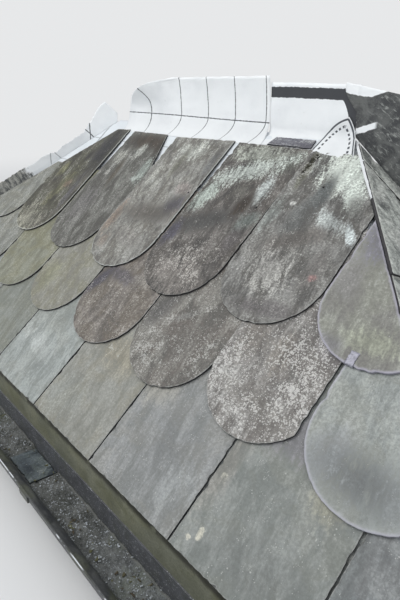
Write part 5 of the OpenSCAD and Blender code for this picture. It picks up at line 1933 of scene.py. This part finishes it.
class BAYROOF_OT_small_pieces(bpy.types.Operator):
    """Packing slate, lead strip and the plate lying in the gutter"""

    bl_idname = "bayroof.small_pieces"
    bl_label = "Small pieces"

    def execute(self, context):
        sizes = context.scene.bay_roof_sizes
        self.lay_packing(sizes)
        self.fold_tingle()
        self.lodge_moss()
        self.lay_plate(sizes)
        return {"FINISHED"}

    def lay_packing(self, sizes):
        look = {**BASE_LOOK, "light": (128, 129, 136), "dark": (92, 92, 102), "patch": (112, 110, 116)}
        # Its dark side is dirt plus painted shade.
        look.update(scratch=1.2, turn=-82.0, side=(60, 58, 66), arris_amount=0.2)
        corners = [(-71.0, 0.5), (71.5, 0.5), (71.5, 29.5), (-56.0, 29.5)]
        shape = [(corner, "side") for corner in corners]
        obj = slate_piece("packing_slate", "Slate packing", shape, 301, SEEN_WHOLE, look, sizes, 0.0, 6.0)
        place = slope_point(LAP_X + 24 + 71.5, TOP_OF_SLATES + 2, -LIFT + SHEET_T + 6.6)
        matrix = Matrix.Rotation(PITCH, 4, "X")
        matrix.translation = Vector(place) * MM
        obj.matrix_world = matrix
        show(obj, ("slate_packing_piece",))

    def fold_tingle(self):
        """Lead strip: a soft bent ribbon over the tail of the slate beside the hip."""
        x0, s0 = -22.0, 30.0
        path = [(25, 0.3), (20, 0.9), (17, 0.4), (14, 1.5), (10.5, 0.6), (7, 1.7), (3, 0.9), (0, 1.4)]
        path += [(-2.2, 0.2), (-2.7, -2.4), (-2.4, -6.0)]
        verts = []
        wide = 8
        for i, (s, z) in enumerate(path):
            for j in range(wide + 1):
                v = j / wide - 0.5
                sway = 0.5 * ripple(i * 0.7, j * 0.5, 3.0)
                x = x0 + v * 17 * (1.0 - 0.05 * (i % 3)) + sway
                verts.append((x, s0 + s + sway * 0.6, z + 0.3 * abs(sway)))
        faces = grid_faces(len(path) - 1, wide + 1, flip=True)
        obj = new_piece("lead_strip", verts, faces, lead_material())
        thicken(obj, 1.3)
        obj.matrix_world = slate_frame(2, JOINT_X + 2.5 * UNIT, False)
        show(obj, ("lead_tingle",))

    def lodge_moss(self):
        """Clumps of dead moss lodged in the joint near the heads."""
        rng = np.random.default_rng(21)
        matrix = slate_frame(2, JOINT_X + 1.5 * UNIT, False)
        places = []
        for _ in range(90):
            s = rng.uniform(430, 494)
            x = -129.0 + 0.16 * (s - 430) * rng.uniform(-0.6, 1.4) + rng.normal(0, 2.2)
            places.append(matrix @ Vector((x * MM, s * MM, 0.0006)) / MM)
        dark = chip_material("Dead moss in a joint", (74, 72, 58), (38, 37, 32))
        show(scatter("joint_moss", places, dark, 22, 1.2, 4.2))

    def lay_plate(self, sizes):
        look = {**BASE_LOOK, "light": (104, 114, 118), "dark": (58, 66, 72), "patch": (112, 122, 120)}
        # The plate's near-black side is dirt plus painted shade.
        look.update(patch_amount=0.6, scratch=0.6, specks=0.06, side=(24, 26, 30))
        look.update(arris=(84, 92, 98), arris_amount=0.5)
        bright_spot = (24, 78, 9, 13, 20, 0.3, (176, 188, 188), 1.2)
        look["stains"] = [bright_spot, (0, 18, 60, 22, 0, 0.4, (66, 74, 82), 0.7)]
        round_r = GUTTER_CUP - GUTTER_T - 0.06
        turn = math.radians(44.0)
        front = (GUTTER_FLAT + round_r * math.sin(turn), GUTTER_CUP - round_r * math.cos(turn))
        back = (GUTTER_T + 1.2, GUTTER_T + 0.15)
        long = math.hypot(front[0] - back[0], front[1] - back[1])
        lean = math.asin((front[1] - back[1]) / long)
        half = PLATE_LONG / 2
        corners = [(-half + 1, 0.6), (half - 2, 0.6), (half - 0.6, long - 3), (half - 8, long - 0.6)]
        corners += [(-half + 4, long - 0.6), (-half + 0.6, long - 8)]
        shape = [(corner, "side") for corner in corners]
        names = ("gutter_joint_slate", "Slate plate")
        obj = slate_piece(*names, shape, 303, SEEN_WHOLE, look, sizes, 0.0, PLATE_T)
        matrix = Matrix.Rotation(-lean, 4, "X")
        x, y, z = front_gutter_point(PLATE_X, front[0], front[1])
        matrix.translation = Vector((x, y + PLATE_T * math.sin(lean), z + PLATE_T * math.cos(lean))) * MM
        obj.matrix_world = matrix
        show(obj, ("gutter_joint_plate",))


def lead_material():
    """Dull lead with a cloudy bloom."""
    material, graph, shader = new_material("Dull lead")
    local = graph.place()
    cloud = graph.noise(local, 120.0, 5.0, 0.65)
    colour = graph.mix(graph.ramp(cloud, 0.35, 0.65), tone(120, 120, 130), tone(178, 178, 190))
    shader.inputs["Metallic"].default_value = 0.35
    finish_shader(graph, shader, colour, graph.ramp(cloud, 0.3, 0.7, 0.45, 0.7), cloud, 0.5, 0.0012)
    return material


class BAYROOF_OT_underlay(bpy.types.Operator):
    """Underlay on the slope and turned up the walls"""

    bl_idname = "bayroof.underlay"
    bl_label = "Underlay"

    def execute(self, context):
        colours = context.scene.bay_roof_colours
        sizes = context.scene.bay_roof_sizes
        lay_slope_sheet(colours, sizes)
        lay_curled_sheet(colours, sizes)
        lay_wall_sheet(colours, sizes)
        lay_splay_sheet(colours)
        lay_pointed_lap(colours)
        lay_hip_strip(colours)
        plain = underlay_material("Underlay plain", colours, printed=False)
        dress("return_underlay", plain)
        return {"FINISHED"}


class BAYROOF_OT_gutter(bpy.types.Operator):
    """Gutter paint, silt, grit and moss"""

    bl_idname = "bayroof.gutter"
    bl_label = "Gutter"

    def execute(self, context):
        paint_gutter(context.scene.bay_roof_colours)
        fill_gutter(context.scene.bay_roof_sizes)
        return {"FINISHED"}


class BAYROOF_OT_timbers(bpy.types.Operator):
    """Rafters, plates, boards, fascia and soffit"""

    bl_idname = "bayroof.timbers"
    bl_label = "Timbers"

    def execute(self, context):
        up, out = COS_PITCH, SIN_PITCH
        over, back = (1.0, 0.0, 0.0), (0.0, 1.0, 0.0)
        climb, climb_return = (0.0, up, out), (-up, 0.0, out)
        hip = Vector((-1.0, 1.0, TAN_PITCH)).normalized()
        splay = Vector((1.0, 1.0, TAN_PITCH)).normalized()
        wood = {
            "wall_ledger": (over, back),
            "front_wall_plate": (over, back),
            "return_wall_plate": (back, over),
            "ceiling_bearer": (over, back),
            "common_rafters": (climb, over),
            "left_jack_rafters": (climb, over),
            "front_hip_jacks": (climb, over),
            "return_hip_jacks": (climb_return, back),
            "return_wall_rafter": (climb_return, back),
            "hip_rafter": (tuple(hip), (0.7071, 0.7071, 0.0)),
            "splayed_wall_rafter": (tuple(splay), (0.7071, -0.7071, 0.0)),
            "ceiling_joists": (back, over),
            "front_tilting_fillet": (over, back),
            "return_tilting_fillet": (back, over),
        }
        for node, (along, across) in wood.items():
            dress(node, timber_material(f"Timber {node}", along, across))
        new_wood = ((206, 178, 132), (170, 136, 92), 0.2)
        for side, along, across in (("front", over, climb), ("return", back, climb_return)):
            node = f"{side}_roof_boards"
            dress(node, timber_material(f"Boards {node}", along, across, *new_wood))
        paint = fascia_material(context.scene.bay_roof_colours)
        for node in ("front_fascia", "return_fascia", "front_soffit", "return_soffit"):
            dress(node, paint)
        return {"FINISHED"}


class BAYROOF_PT_panel(bpy.types.Panel):
    """Buttons for the roof's build steps, and its sizes and colours"""

    bl_label = "Slated bay window roof"
    bl_idname = "BAYROOF_PT_panel"
    bl_space_type = "VIEW_3D"
    bl_region_type = "UI"
    bl_category = "Bay roof"

    def draw(self, context):
        layout = self.layout
        for step in STEPS:
            layout.operator(step.bl_idname)
        for group in (context.scene.bay_roof_sizes, context.scene.bay_roof_colours):
            box = layout.box()
            for name in group.__annotations__:
                box.prop(group, name)


STEPS = (
    BAYROOF_OT_stage,
    BAYROOF_OT_eaves_slates,
    BAYROOF_OT_round_slates,
    BAYROOF_OT_small_pieces,
    BAYROOF_OT_underlay,
    BAYROOF_OT_gutter,
    BAYROOF_OT_timbers,
)
CLASSES = (RoofSizes, RoofColours, *STEPS, BAYROOF_PT_panel)


def register():
    for item in CLASSES:
        bpy.utils.register_class(item)
    bpy.types.Scene.bay_roof_sizes = PointerProperty(type=RoofSizes)
    bpy.types.Scene.bay_roof_colours = PointerProperty(type=RoofColours)


def unregister():
    del bpy.types.Scene.bay_roof_sizes
    del bpy.types.Scene.bay_roof_colours
    for item in reversed(CLASSES):
        bpy.utils.unregister_class(item)


def main():
    register()
    bpy.ops.bayroof.stage()
    bpy.ops.bayroof.eaves_slates()
    bpy.ops.bayroof.round_slates()
    bpy.ops.bayroof.small_pieces()
    bpy.ops.bayroof.underlay()
    bpy.ops.bayroof.gutter()
    bpy.ops.bayroof.timbers()


if __name__ == "__main__":
    main()
